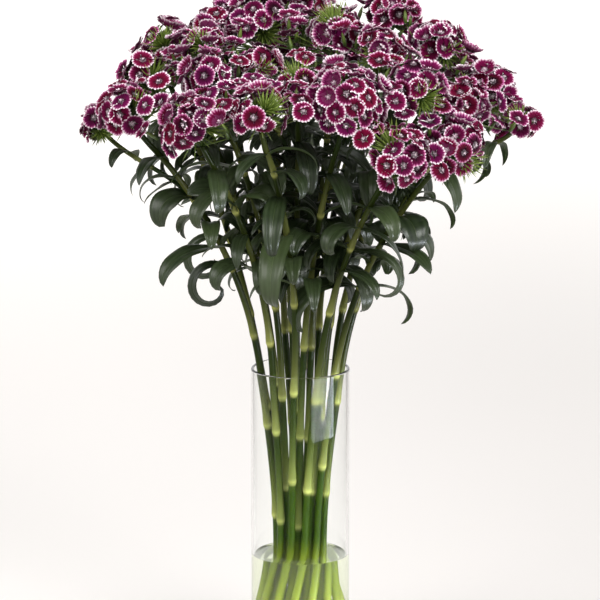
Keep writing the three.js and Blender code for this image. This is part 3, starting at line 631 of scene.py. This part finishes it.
def makeWater():
    wide = vase["radius"] - vase["wall"] + waterShape["intoGlass"]
    level, floor = waterShape["level"], vase["floor"] - waterShape["intoGlass"]
    heel = vaseShape["heel"]
    share = np.linspace(0, 1, waterShape["meniscusRows"])
    # the surface climbs the glass as the square of how near it is
    reach = wide - waterShape["meniscusWide"] * share
    climb = level + waterShape["meniscus"] * (1 - share) ** 2
    profile = [(0, floor)] + corner((wide - heel, floor + heel), heel, -90, 0)
    profile += [*zip(reach, climb), (wide * waterShape["stillFrom"], level), (0, level)]
    heap = Heap()
    heap.add(*turned(profile, vaseShape["sides"]))
    heap.build("vase_water", waterFinish, "water", "water")


bubbleShape = {"seed": 510, "count": 8, "bearing": (22, 58), "fromGlass": (0.4, 4.0),
               "radius": (0.5, 1.3), "rise": 0.35, "sides": 12}


def makeBubbles():
    # A few bubbles that lie on the water by the glass
    draw = seededDraw(bubbleShape["seed"])
    heap = Heap()
    for _ in range(bubbleShape["count"]):
        radius = draw(*bubbleShape["radius"])
        reach = vase["radius"] - vase["wall"] - radius - draw(*bubbleShape["fromGlass"])
        bearing = math.radians(draw(*bubbleShape["bearing"]))
        ball, quads, tris = turned(corner((0, 0), radius, -90, 90), bubbleShape["sides"])
        middle = [reach * math.cos(bearing), reach * math.sin(bearing),
                  waterShape["level"] + bubbleShape["rise"] * radius]
        heap.add(ball + middle, quads, tris)
    heap.build("water_bubbles", waterFinish, "water", "water")


makeVase()
makeWater()
makeBubbles()
print("vase and water made")

# In millimetres; the swell and other shares are of the stem's radius. The painted light, darkest
# under the heads, and the wet are read off by height: a stem's light is the first row plus its
# shade times the second row
stemShape = {"sides": 12, "ringEvery": 6.0, "jointRings": (-5, -3, -1.5, 0, 1.5, 4, 8, 12),
             "jointSwell": 0.27, "jointLong": (2.6, 10.0), "sheath": 3, "youngLong": 26.0,
             "youngShare": 0.56, "beadLong": 3.0, "beadShare": 0.95, "differ": 0.3,
             "ageLong": 80.0, "ageDark": 0.7, "ageBelow": 0.5, "plump": 1.12, "shade": (0.12, 1.12),
             "lightAt": (0, 110, 300, 420, 560), "light": ((1.0, 0.5, 0, 0, 0.08),
                                                           (0, 0.5, 0.8, 0.42, 0)),
             "wetAt": (60, 104, 125), "wet": (0.75, 0.35, 0.0)}


def jointValues(run, joints):
    # Near a joint the stem swells as a bell curve of the distance, which is longer above it.
    # Just above it the stem is young, and it ages evenly up to the next one
    swell, young = np.zeros_like(run), np.zeros_like(run)
    aged = np.full_like(run, stemShape["ageBelow"])
    for joint in sorted(joints):
        away = run - joint
        mark = 1 - stemShape["differ"] * (0.5 + 0.5 * math.sin(joint))  # no two joints are alike
        swell += mark * np.exp(-(away / np.where(away < 0, *stemShape["jointLong"])) ** 2)
        above = away > -stemShape["sheath"]
        fresh = np.where(above, np.exp(-np.maximum(away, 0) / stemShape["youngLong"]), 0)
        bead = np.exp(-(away / stemShape["beadLong"]) ** 2)
        young = np.maximum(young, mark * fresh * stemShape["youngShare"])
        young = np.maximum(young, mark * bead * stemShape["beadShare"])
        aged = np.where(above, np.clip(away / stemShape["ageLong"], 0, 1), aged)
    return swell, young, aged


def addStem(heap, path, radii, joints, light):
    # A round tube along the path: rings at even runs and closer at the joints, to a tenth of a
    # millimetre
    sides = stemShape["sides"]
    length = math.floor(path["length"] * 10) / 10
    run = np.linspace(0, length, int(length / stemShape["ringEvery"]) + 2)
    near = [joint + step for joint in joints for step in stemShape["jointRings"]]
    run = np.unique(np.round(np.clip(np.concatenate([run, near]), 0, length), 1))
    middles = np.stack([np.interp(run, path["run"], row) for row in path["points"].T], axis=1)
    along = unit(np.gradient(middles, run, axis=0))
    across = unit(np.cross(along, [1.0, 0.0, 0.0]))
    swell, young, aged = jointValues(run, joints)
    radius = radii[0] + (radii[1] - radii[0]) * run / length
    radius = radius * stemShape["plump"] * (1 + stemShape["jointSwell"] * swell)
    turn = np.linspace(0, 2 * np.pi, sides, endpoint=False)
    outline = np.stack([np.sin(turn), np.cos(turn)], axis=-1)[None] * radius[:, None, None]
    # painted light and shade: the stem's colour is lighter low in the vase and darker up under the
    # heads
    lightness = np.interp(middles[:, 2], stemShape["lightAt"], light)
    lightness = lightness * (1 - stemShape["ageDark"] * aged)
    wet = np.interp(middles[:, 2], stemShape["wetAt"], stemShape["wet"])
    heap.add(*closedTube(sections(middles, across, np.cross(across, along), outline)),
             young=ringValues(young, sides), light=ringValues(lightness, sides),
             wet=ringValues(wet, sides))


# In millimetres and degrees; fold, arch and waveHigh are shares of half the leaf's width
leafShape = {"seeds": (300, 1), "columns": 9, "rowStep": 2, "widen": 1.42, "blunt": 0.6,
             "tip": 0.3, "crowd": 0.85, "fold": 0.16, "foldPower": 1.3, "flatter": 0.5,
             "arch": 0.1, "thick": 0.5, "thinner": (0.6, 0.5), "rib": (0.9, 0.12), "waves": 2.5,
             "waveHigh": 0.06, "waveApart": 1.7, "wavePower": 3, "curledFrom": 300,
             "curlRoll": 45, "curlPower": 0.4, "curledWide": 0.72, "tipCurl": (10, 120)}


def addLeafBlade(heap, root, shape, draw):
    # A flat closed tube carried along the leaf's line: the blade folds up from the midrib, each
    # half arches as half a sine, and the edges wave a little; the two faces part by the thickness,
    # which is less towards the edges and the tip, and more at the midrib
    look = leafShape
    at, along, face, share = leafLine(root, {**shape, "tipCurl": draw(*look["tipCurl"])})
    keep = np.arange(0, leaf["steps"] + 1, look["rowStep"])
    at, along, face, share = at[keep], along[keep], face[keep], share[keep]
    roll, wide = shape["roll"] * share, shape["wide"] * look["widen"]
    if shape["end"] > look["curledFrom"]:
        side = math.cos(math.radians(shape["toward"]))
        roll = roll - look["curlRoll"] * side * share ** look["curlPower"]
        wide = wide * look["curledWide"]
    roll = np.radians(roll)[:, None]
    across = -(np.cross(along, face) * np.cos(roll) + face * np.sin(roll))
    half = leafWidth(share, wide, look["blunt"])
    half[-1] = look["tip"]
    half, share = half[:, None] / 2, share[:, None]
    s = np.linspace(1, -1, look["columns"])
    s = np.sign(s) * np.abs(s) ** look["crowd"]
    phase, tone = draw(0, turnDrawn), draw(0, 1)
    wave = phase + 2 * np.pi * look["waves"] * share + np.where(s < 0, look["waveApart"], 0)
    wave = look["waveHigh"] * np.sin(wave) * np.abs(s) ** look["wavePower"]
    fold = look["fold"] * (1 - look["flatter"] * share) * np.abs(s) ** look["foldPower"]
    arch = look["arch"] * np.sin(np.pi * np.abs(s))
    rise = -(fold + arch + wave) * half
    (ribHigh, ribWide), (byEdge, byTip) = look["rib"], look["thinner"]
    thick = look["thick"] * (1 - byEdge * np.abs(s)) * (1 - byTip * share)
    thick = thick + ribHigh * np.exp(-(s / ribWide) ** 2) * (1 - share)
    top = np.stack([half * s, rise], axis=-1)
    low = np.stack([half * s, rise + thick], axis=-1)[:, 1:-1][:, ::-1]
    rings = sections(at, across, np.cross(across, along), np.concatenate([top, low], axis=1))
    # the values of one ring, then the same for each other ring, and none for the two end points
    ring = {"across": np.concatenate([s, s[1:-1][::-1]]),
            "under": np.concatenate([np.zeros(len(s)), np.ones(len(s) - 2)])}
    heap.add(*closedTube(rings), tone=tone, **{
        name: np.concatenate([np.tile(row, len(share)), [0, 0]]) for name, row in ring.items()})


def makeStems():
    for plan in plans:
        name = f"stem_{plan['owner']:02d}"
        (path, _), *branches = plan["ways"]
        stalks, blades = Heap(), Heap()
        draw = seededDraw(*leafShape["seeds"], plan["owner"])
        fixed, shaded = np.array(stemShape["light"])
        light = fixed + shaded * draw(*stemShape["shade"])
        joints = [runAtHeight(path, height) for height in plan["joints"]]
        addStem(stalks, path, (stem["foot"], stem["top"]), joints, light)
        for side, _ in branches:
            joints = [side["length"] * stem["branchJoint"]]
            addStem(stalks, side, (stem["branch"], stem["branch"]), joints, light)
        for root, shape in plan["leaves"]:
            addLeafBlade(blades, root, shape, draw)
        stalks.build(f"{name}_stalk", stemFinish, "greens", name)
        blades.build(f"{name}_leaves", leafFinish, "greens", name, True)


makeStems()
print("stems and leaves made")

# Petals and stamens in shares of the floret's radius, and in degrees
petalShape = {"petals": 5, "columns": 11, "rows": (0.36, 0.8, 1.0), "toothDeep": 0.1, "half": 42,
              "narrow": (0.25, 1.1), "throat": -0.14, "throatRise": 2.2, "waves": 4.5,
              "thick": 0.02, "thin": 0.006, "rounding": 0.1, "overlap": 0.035,
              "cupVaries": (-0.06, 0.06), "turnVaries": (-0.1, 0.1), "liftVaries": (-0.05, 0.05)}


def petalFaces(rows, columns):
    # A closed petal: its upper rows, its lower rows but for their ends and the first and last of
    # them, which the upper face shares, and the throat, where all of them meet
    upper = np.arange(rows * columns).reshape(rows, columns)
    lower = rows * columns + np.arange(columns - 2)
    throat = rows * columns + len(lower)
    under = np.concatenate([[upper[-2, 0]], lower, [upper[-2, -1]]])
    quads = [gridFaces(rows, columns, False)]
    quads.append(np.stack([under[:-1], upper[-1, :-1], upper[-1, 1:], under[1:]], axis=1))
    quads.append([[throat, upper[0, 0], upper[1, 0], under[1]],
                  [throat, under[-2], upper[1, -1], upper[0, -1]]])
    first, inner = upper[0], under[1:-1]
    tris = [np.stack([np.full(columns - 1, throat), first[1:], first[:-1]], axis=1),
            np.stack([np.full(len(inner) - 1, throat), inner[:-1], inner[1:]], axis=1)]
    return np.concatenate(quads), np.concatenate(tris)


def petalSheet(cup, ruffle, turn, lift, phase):
    # One petal on a grid of share across a and share out r. Its bearing is a times half its
    # angle; its edge is cut into teeth; it rises from the throat as the root of r, bends by cup
    # times r squared, and one edge lies over the next petal's
    look = petalShape
    columns, throat, (least, widening) = look["columns"], look["throat"], look["narrow"]
    a = np.linspace(1, -1, columns)[None]
    r = np.array(look["rows"])[:, None]
    tooth = np.where(np.arange(columns) % 2 == 0, look["toothDeep"], 0.0)[None]
    edge = (1 - look["rounding"] * np.abs(a) ** 3) * (1 - tooth * (r == 1))
    reach = r * np.where(r == r[0], 1.0, edge)
    bearing = turn + a * math.radians(look["half"]) * np.minimum(1.0, least + widening * r)
    z = throat * (1 - np.sqrt(np.minimum(r * look["throatRise"], 1.0))) + cup * r * r + lift * r
    z = z + ruffle * np.sin(a * look["waves"] + phase) * r ** 2 + look["overlap"] * a * r
    upper = np.stack([reach * np.cos(bearing), reach * np.sin(bearing), z], axis=-1)
    lower = upper[-2, 1:-1].copy()
    lower[:, 2] -= look["thick"] * (1 - np.abs(a[0, 1:-1])) + look["thin"]
    points = np.concatenate([upper.reshape(-1, 3), lower, [[0, 0, throat]]])
    out = np.concatenate([np.repeat(r, columns), np.full(len(lower), r[-2, 0]), [0.0]])
    across = np.concatenate([np.tile(a[0], len(r)), a[0, 1:-1], [0.0]]) * 0.5 + 0.5
    under = np.concatenate([np.zeros(upper.size // 3), np.ones(len(lower)), [0.5]])
    return points, *petalFaces(len(r), columns), out, across, under


stamenShape = {"count": 4, "lean": 0.42, "long": (0.08, 0.17), "foot": 0.022, "top": 0.055,
               "tip": 0.1, "aboveThroat": 0.08, "sides": 3, "strays": (0, 0.6)}


def stamen(bearing, long):
    # A three-sided thread that widens to its anther and ends in a point
    look, sides, lean = stamenShape, stamenShape["sides"], stamenShape["lean"]
    way = unit([math.cos(bearing) * lean, math.sin(bearing) * lean, 1.0])
    ring = around(way, np.arange(sides) * 2 * np.pi / sides)
    foot = upright * petalShape["throat"] + way * look["aboveThroat"]
    points = np.concatenate([foot + ring * look["foot"], foot + way * long + ring * look["top"],
                             [foot + way * (long + look["tip"])]])
    top = sides + np.arange(sides)
    tris = np.stack([top, np.roll(top, -1), np.full(sides, 2 * sides)], axis=1)
    tris = np.concatenate([tris, [np.arange(sides)[::-1]]])
    blank = np.zeros(len(points))
    return points, gridFaces(2, sides, True), tris, blank, blank + 0.5, blank


def floretTemplate(seed, cup, ruffle):
    draw, petal, thread = seededDraw(seed), petalShape, stamenShape
    parts = [petalSheet(cup + draw(*petal["cupVaries"]), ruffle,
                        2 * math.pi * i / petal["petals"] + draw(*petal["turnVaries"]),
                        draw(*petal["liftVaries"]), draw(0, turnDrawn))
             for i in range(petal["petals"])]
    parts += [stamen(2 * math.pi * (i + draw(*thread["strays"])) / thread["count"],
                     draw(*thread["long"])) for i in range(thread["count"])]
    starts = np.cumsum([0] + [len(part[0]) for part in parts])
    quads, tris = (np.concatenate([part[k] + start for part, start in zip(parts, starts)])
                   for k in (1, 2))
    points, *values = (np.concatenate([part[k] for part in parts]) for k in (0, 3, 4, 5))
    return points, quads, tris, values


# Each kind of floret: its seed, its cup and its ruffle
floretKinds = [(11, -0.1, 0.04), (23, 0.05, 0.05), (37, 0.14, 0.05), (41, -0.18, 0.07),
               (59, 0.42, 0.06), (71, 0.22, 0.04), (83, 0.02, 0.08), (97, -0.3, 0.05),
               (103, 0.6, 0.05), (109, 0.1, 0.09)]
templates = [floretTemplate(*kind) for kind in floretKinds]
# A bract's rings lie at shares of its length; first is a direction that no bract runs along
needleShape = {"sides": 4, "shares": (0.0, 0.4, 0.75), "widths": (0.8, 1.0, 0.55),
               "first": (0.31, 0.94, 0.12)}


def turnTo(way, twist):
    # The turn that takes the third axis to way, after a twist about it
    side, other = axesAcross(way)
    c, s = math.cos(twist), math.sin(twist)
    return np.stack([side * c + other * s, other * c - side * s, way], axis=1)


def addNeedles(heap, roots, ways, longs, radii, bends, tones):
    # Awl-shaped bracts, all at once: each is a four-sided spike whose middle line bends towards
    # upright by the square of the share along it
    roots, ways = np.array(roots), unit(np.array(ways))
    longs, radii, bends = (np.array(v, float)[:, None, None] for v in (longs, radii, bends))
    shares = np.array(needleShape["shares"] + (1.0,))[None, :, None]
    middles = roots[:, None] + ways[:, None] * longs * shares
    middles = middles + upright * longs * bends * shares ** 2
    sides = unit(np.cross(ways, needleShape["first"]))
    others = np.cross(ways, sides)
    turn = (np.arange(needleShape["sides"]) * 2 * np.pi / needleShape["sides"])[:, None]
    widths = np.array(needleShape["widths"])[None, :, None] * radii
    ring = sides[:, None, None] * np.cos(turn) + others[:, None, None] * np.sin(turn)
    body = middles[:, :-1, None] + ring * widths[..., None]
    count, rows, columns = body.shape[:3]
    each = rows * columns + 1
    points = np.concatenate([body.reshape(count, -1, 3), middles[:, -1:]], axis=1)
    side = np.arange(columns)
    last = (rows - 1) * columns
    tip = np.stack([last + side, last + (side + 1) % columns, np.full(columns, each - 1)], axis=1)
    quads = np.concatenate([gridFaces(rows, columns, True), side[::-1][None]])
    offset = np.arange(count)[:, None, None] * each
    along = np.concatenate([np.repeat(needleShape["shares"], columns), [1.0]])
    heap.add(points, quads + offset, tip + offset, along=np.tile(along, count),
             tone=np.repeat(tones, each))


def addSpray(heap, roots, ways, reach, shape, draw):
    longs, radii, tones = ([draw(*shape[key]) for _ in ways] for key in ("long", "radius", "tone"))
    bends = np.full(len(ways), shape["bend"])
    addNeedles(heap, roots, ways, reach * np.array(longs), radii, bends, tones)


# In millimetres and degrees. A head has cover times the square of its reach over a floret's radius
# florets, and none stands within tuftRoom of its tuft
floretShape = {"seeds": (7000, 41), "radius": (11.2, 12.8), "cover": 3.5, "fewest": 7,
               "inset": 2.0, "lowest": 108, "tilt": 20, "depth": 9.0, "lift": 0.12,
               "tuftRoom": 30, "tone": (-0.2, 1), "deepPower": 2, "firstStep": 0.35,
               "goldenAngle": 137.508}


def floretWays(place, draw, count, lowest):
    # A spiral of even steps down the head, each turned on by the golden angle
    first = draw(0, 360)
    i = np.arange(count)
    share = (i + floretShape["firstStep"]) / count
    drop = 1 - share * (1 - math.cos(math.radians(lowest)))
    bearing = np.radians(first + floretShape["goldenAngle"] * i)
    return around(place["axis"], bearing, drop, np.sqrt(1 - drop ** 2))


bridge = {"seed": 4242, "between": (-20, 42), "rise": (0.0, 0.75),
          "steps": (-1.5, -0.5, 0.5, 1.5), "step": 15, "along": (-4, 4), "across": (-5, 5),
          "fan": 0.25, "lean": (-0.3, 0.3), "clear": 0.8, "apart": 15}


def bridgeFlorets(places):
    # Florets between neighbouring heads: beside the middle of the gap between two heads, raised
    # along the mean of their axes by a share of the smaller radius
    draw = seededDraw(bridge["seed"])
    found, taken = {place["number"]: [] for place in places}, []
    for first, second in ((a, b) for i, a in enumerate(places) for b in places[i + 1:]):
        apart = second["middle"] - first["middle"]
        between = np.linalg.norm(apart) - first["size"] - second["size"]
        if not bridge["between"][0] < between < bridge["between"][1]:
            continue
        way = unit(apart)
        middle = first["middle"] + way * (first["size"] + between / 2)
        axis = unit(first["axis"] + second["axis"])
        across = unit(np.cross(axis, way))
        for step in bridge["steps"]:
            rise = draw(*bridge["rise"]) * min(first["size"], second["size"])
            at = middle + axis * rise + across * (step * bridge["step"] + draw(*bridge["along"]))
            at = at + way * draw(*bridge["across"])
            lean = unit(axis + across * bridge["fan"] * step + way * draw(*bridge["lean"]))
            clear = all(np.linalg.norm(at - p["middle"]) > p["size"] * bridge["clear"]
                        for p in places)
            if clear and all(np.linalg.norm(at - other) > bridge["apart"] for other in taken):
                taken.append(at)
                found[first["number"]].append((at, lean))
    return found


# painted shade: the calyces draw darker tones than the tufts
calyxShape = {"below": 0.28, "long": 15.0, "radius": 2.2, "stalk": 0.9, "into": (1, 3),
              "tone": (0.3, 0.9)}


def addCalyx(spikes, place, throat, lean, draw):
    # A calyx under the throat, and a stalk from the head's foot to the calyx
    low = throat - lean * calyxShape["long"]
    stalk = low - place["foot"]
    longs = (calyxShape["long"], np.linalg.norm(stalk))
    for row in zip((low, place["foot"]), (lean, stalk), np.add(longs, calyxShape["into"]),
                   (calyxShape["radius"], calyxShape["stalk"]), (0.0, 0.0)):
        spikes.append((*row, draw(*calyxShape["tone"])))


# painted shade: the bracts inside the head draw darker tones than the tufts
fillerShape = {"perHead": 44, "lowest": 118, "below": 0.25, "root": 0.15, "long": (0.55, 0.98),
               "radius": (0.7, 1.1), "tone": (0.4, 1.0), "bend": 0.08}


def addFiller(heap, place, draw):
    # Stalks and bracts that fill the head between its florets
    size = place["size"]
    ways = floretWays(place, draw, fillerShape["perHead"], fillerShape["lowest"])
    base = place["middle"] - place["axis"] * fillerShape["below"] * size
    addSpray(heap, base + ways * size * fillerShape["root"], ways, size, fillerShape, draw)


tuftShape = {"needles": 42, "spread": 52, "lift": 0.3, "root": 0.35, "past": 5, "back": 60,
             "least": 0.05, "long": (0.8, 1.15), "radius": (0.7, 1.15), "tone": (0.0, 0.45),
             "bend": 0.12}


def tuftWay(number):
    # The tuft's side x, z with the depth that makes its length one, to the front or the back
    at, _, side = heads[number - 1]
    if side is None:
        return None
    depth = math.sqrt(max(tuftShape["least"], 1 - side[0] ** 2 - side[1] ** 2))
    return unit([side[0], depth if at[1] > tuftShape["back"] else -depth, side[1]])


def addTuft(heap, place, free, draw):
    # A cluster of closed buds hidden by its bracts: spikes that spread from one point
    root = place["middle"] + free * tuftShape["root"] * place["size"]
    count = tuftShape["needles"]
    i = np.arange(count)
    tilt = np.radians(tuftShape["spread"]) * np.sqrt((i + 0.5) / count)
    ways = around(unit(free + tuftShape["lift"] * upright),
                  np.radians(floretShape["goldenAngle"] * i), np.cos(tilt), np.sin(tilt))
    reach = place["size"] * (1 - tuftShape["root"]) + tuftShape["past"]
    addSpray(heap, np.repeat(root[None], count, axis=0), ways, reach, tuftShape, draw)


def makeHead(place, extra):
    number, size = place["number"], place["size"]
    draw = seededDraw(*floretShape["seeds"], number)
    petals, greens = Heap(), Heap()
    reach = size - floretShape["inset"]
    radius = sum(floretShape["radius"]) / 2
    count = max(floretShape["fewest"],
                round(floretShape["cover"] * reach * reach / (radius * radius)))
    free = tuftWay(number)
    room = math.cos(math.radians(floretShape["tuftRoom"]))
    spots, spikes = [], []
    for way in floretWays(place, draw, count, floretShape["lowest"]):
        if free is None or np.dot(way, free) < room:
            middle = place["middle"] + way * (reach - draw(0, floretShape["depth"]))
            spots.append((middle, unit(way + floretShape["lift"] * upright)))
    tilt = math.radians(floretShape["tilt"])
    for middle, way in spots + extra:
        side, other = axesAcross(way)
        lean = unit(way + draw(-tilt, tilt) * side + draw(-tilt, tilt) * other)
        points, quads, tris, values = templates[int(draw(0, len(templates) - 0.01))]
        out, across, under = values
        scale = draw(*floretShape["radius"])
        turn = turnTo(lean, draw(0, turnDrawn))
        petals.add(points @ turn.T * scale + middle, quads, tris, out=out, turn=across,
                   under=under, tone=draw(*floretShape["tone"]),
                   deep=draw(0, 1) ** floretShape["deepPower"])
        addCalyx(spikes, place, middle - lean * calyxShape["below"] * scale, lean, draw)
    addNeedles(greens, *zip(*spikes))
    addFiller(greens, place, draw)
    if free is not None:
        addTuft(greens, place, free, draw)
    name = f"head_{number:02d}"
    petals.build(f"{name}_florets", petalFinish, "petals", name, True)
    greens.build(f"{name}_greens", tuftFinish, "greens", name)


def makeHeads():
    places = sorted((place for plan in plans for _, place in plan["ways"]),
                    key=lambda place: place["number"])
    between = bridgeFlorets(places)
    print(f"florets between the heads: {sum(len(found) for found in between.values())}")
    for place in places:
        makeHead(place, between[place["number"]])


makeHeads()
print("flower heads made")

cameraShape = {"distance": 4.4, "elevation": 12.0, "target": (-0.0003, 0.0, 0.3697),
               "widthSeen": 0.606, "sensor": 36, "clipEnd": 100}


def makeCamera():
    data = bpy.data.cameras.new("camera")
    camera = shown("camera", data)
    tilt = math.radians(cameraShape["elevation"])
    x, y, z = cameraShape["target"]
    far = cameraShape["distance"]
    camera.location = (x, y - far * math.cos(tilt), z + far * math.sin(tilt))
    camera.rotation_euler = (math.pi / 2 - tilt, 0, 0)
    data.sensor_width = cameraShape["sensor"]
    data.lens = cameraShape["sensor"] * far / cameraShape["widthSeen"]
    data.clip_end = cameraShape["clipEnd"]
    bpy.context.scene.camera = camera


# Glows of the floor and the studio: each eases from its third number to its fourth as what it
# follows goes from the first to the second, in metres or shares
stageLook = {"floor": "#a5a09e", "warm": "#fffdfa", "roughness": 0.9, "half": 60.0,
             "wedgeFrom": 4.3, "dim": 0.14, "aimHigh": 0.4,
             "glows": {"behind": (-0.8, 0.3, 0, 0.54), "sides": (0.072, 0.15, 1.0, 0.2),
                       "front": (-0.3, 0.4, 0.11, 0.0), "under": (0.046, 0.05, 0.12, 0),
                       "far": (1.0, 4.2, 0, 0.5)},
             "studio": {"behind": (-0.5, 0.3, 0.4, 1.25), "level": (0.25, 0.6, 1.0, 0.0)}}
lamps = {
    "key": {"at": (1.9, -2.6, 2.6), "size": (1.8, 1.8), "watts": 120, "colour": "#ffffff"},
    "fill": {"at": (-2.6, -2.2, 2.6), "size": (2.0, 2.0), "watts": 70, "colour": "#fffdfa"},
    "top": {"at": (0.0, 0.6, 3.6), "size": (2.6, 2.6), "watts": 40, "colour": "#ffffff"},
}
# Low strips, part of a ring about the vase, that show only as one band of gloss on the glass
stripLook = {"bearings": (35, 54, 73), "far": 0.93, "high": 0.072,
             "lamp": {"size": (0.32, 0.112), "watts": 3.4, "colour": "#eef3ff", "glossOnly": True}}
for i, bearing in enumerate(stripLook["bearings"]):
    x, y = (stripLook["far"] * turn(math.radians(bearing)) for turn in (math.sin, math.cos))
    lamps[f"strip{i}"] = {"at": (x, -y, stripLook["high"]), **stripLook["lamp"]}


def makeFloor():
    mesh = bpy.data.meshes.new("floor")
    far = stageLook["half"]
    mesh.from_pydata([(-far, -far, 0), (far, -far, 0), (far, far, 0), (-far, far, 0)], [],
                     [(0, 1, 2, 3)])
    # painted light: the paper glows, brightest behind the vase and in a patch under it
    material, tree = newMaterial("glowing white paper")
    where = node(tree, "TexCoord", output="Object")
    x, y = (node(tree, "SeparateXYZ", [where], axis) for axis in "XY")
    flat = node(tree, "VectorMath", [where], "Value", operation="LENGTH")
    # a bright field behind the vase, a wedge that fades at its sides, draws the glass's edges, and
    # the patch under the vase lights the water from below
    wedge = node(tree, "Math", [node(tree, "Math", [x], operation="ABSOLUTE"),
                                node(tree, "Math", [y, stageLook["wedgeFrom"]], operation="ADD")],
                 operation="DIVIDE")
    follows = {"behind": y, "sides": wedge, "front": x, "under": flat, "far": flat}
    glows = {name: node(tree, "MapRange", [follows[name], *span], interpolation_type="SMOOTHSTEP")
             for name, span in stageLook["glows"].items()}
    glow = node(tree, "Math", [glows["behind"], glows["sides"]], operation="MULTIPLY")
    for name in ("front", "under", "far"):
        glow = node(tree, "Math", [glow, glows[name]], operation="ADD")
    shader = node(tree, "BsdfPrincipled", {
        "Base Color": stageLook["floor"], "Roughness": stageLook["roughness"],
        "Specular IOR Level": 0, "Emission Color": stageLook["warm"], "Emission Strength": glow})
    node(tree, "OutputMaterial", {"Surface": shader})
    mesh.materials.append(material)
    shown("floor", mesh)


def makeStudio():
    world = bpy.data.worlds.new("studio")
    world.use_nodes = True
    tree = world.node_tree
    tree.nodes.clear()
    where = node(tree, "TexCoord", output="Generated")
    follows = {"behind": "Y", "level": "Z"}
    spans = [node(tree, "MapRange", [node(tree, "SeparateXYZ", [where], follows[name]), *span],
                  interpolation_type="SMOOTHSTEP") for name, span in stageLook["studio"].items()]
    strength = node(tree, "Math", [*spans, stageLook["dim"]], operation="MULTIPLY_ADD")
    light = node(tree, "Background", {"Color": "#ffffff", "Strength": strength})
    node(tree, "OutputWorld", {"Surface": light})
    bpy.context.scene.world = world
    bpy.context.scene.view_settings.view_transform = "Standard"


def makeLamps():
    for name, lamp in lamps.items():
        data = bpy.data.lights.new(name, "AREA")
        data.shape = "RECTANGLE"
        data.size, data.size_y = lamp["size"]
        data.energy = lamp["watts"]
        data.color = linear(lamp["colour"])[:3]
        made = shown(name, data)
        made.location = lamp["at"]
        if lamp.get("glossOnly"):
            made.visible_camera = made.visible_diffuse = made.visible_transmission = False
        aim = unit(np.array([0, 0, min(stageLook["aimHigh"], lamp["at"][2])]) - lamp["at"])
        made.rotation_euler = (math.acos(-aim[2]), 0, math.atan2(aim[0], -aim[1]) + math.pi)


makeCamera()
makeFloor()
makeStudio()
makeLamps()
print("camera and stage made")
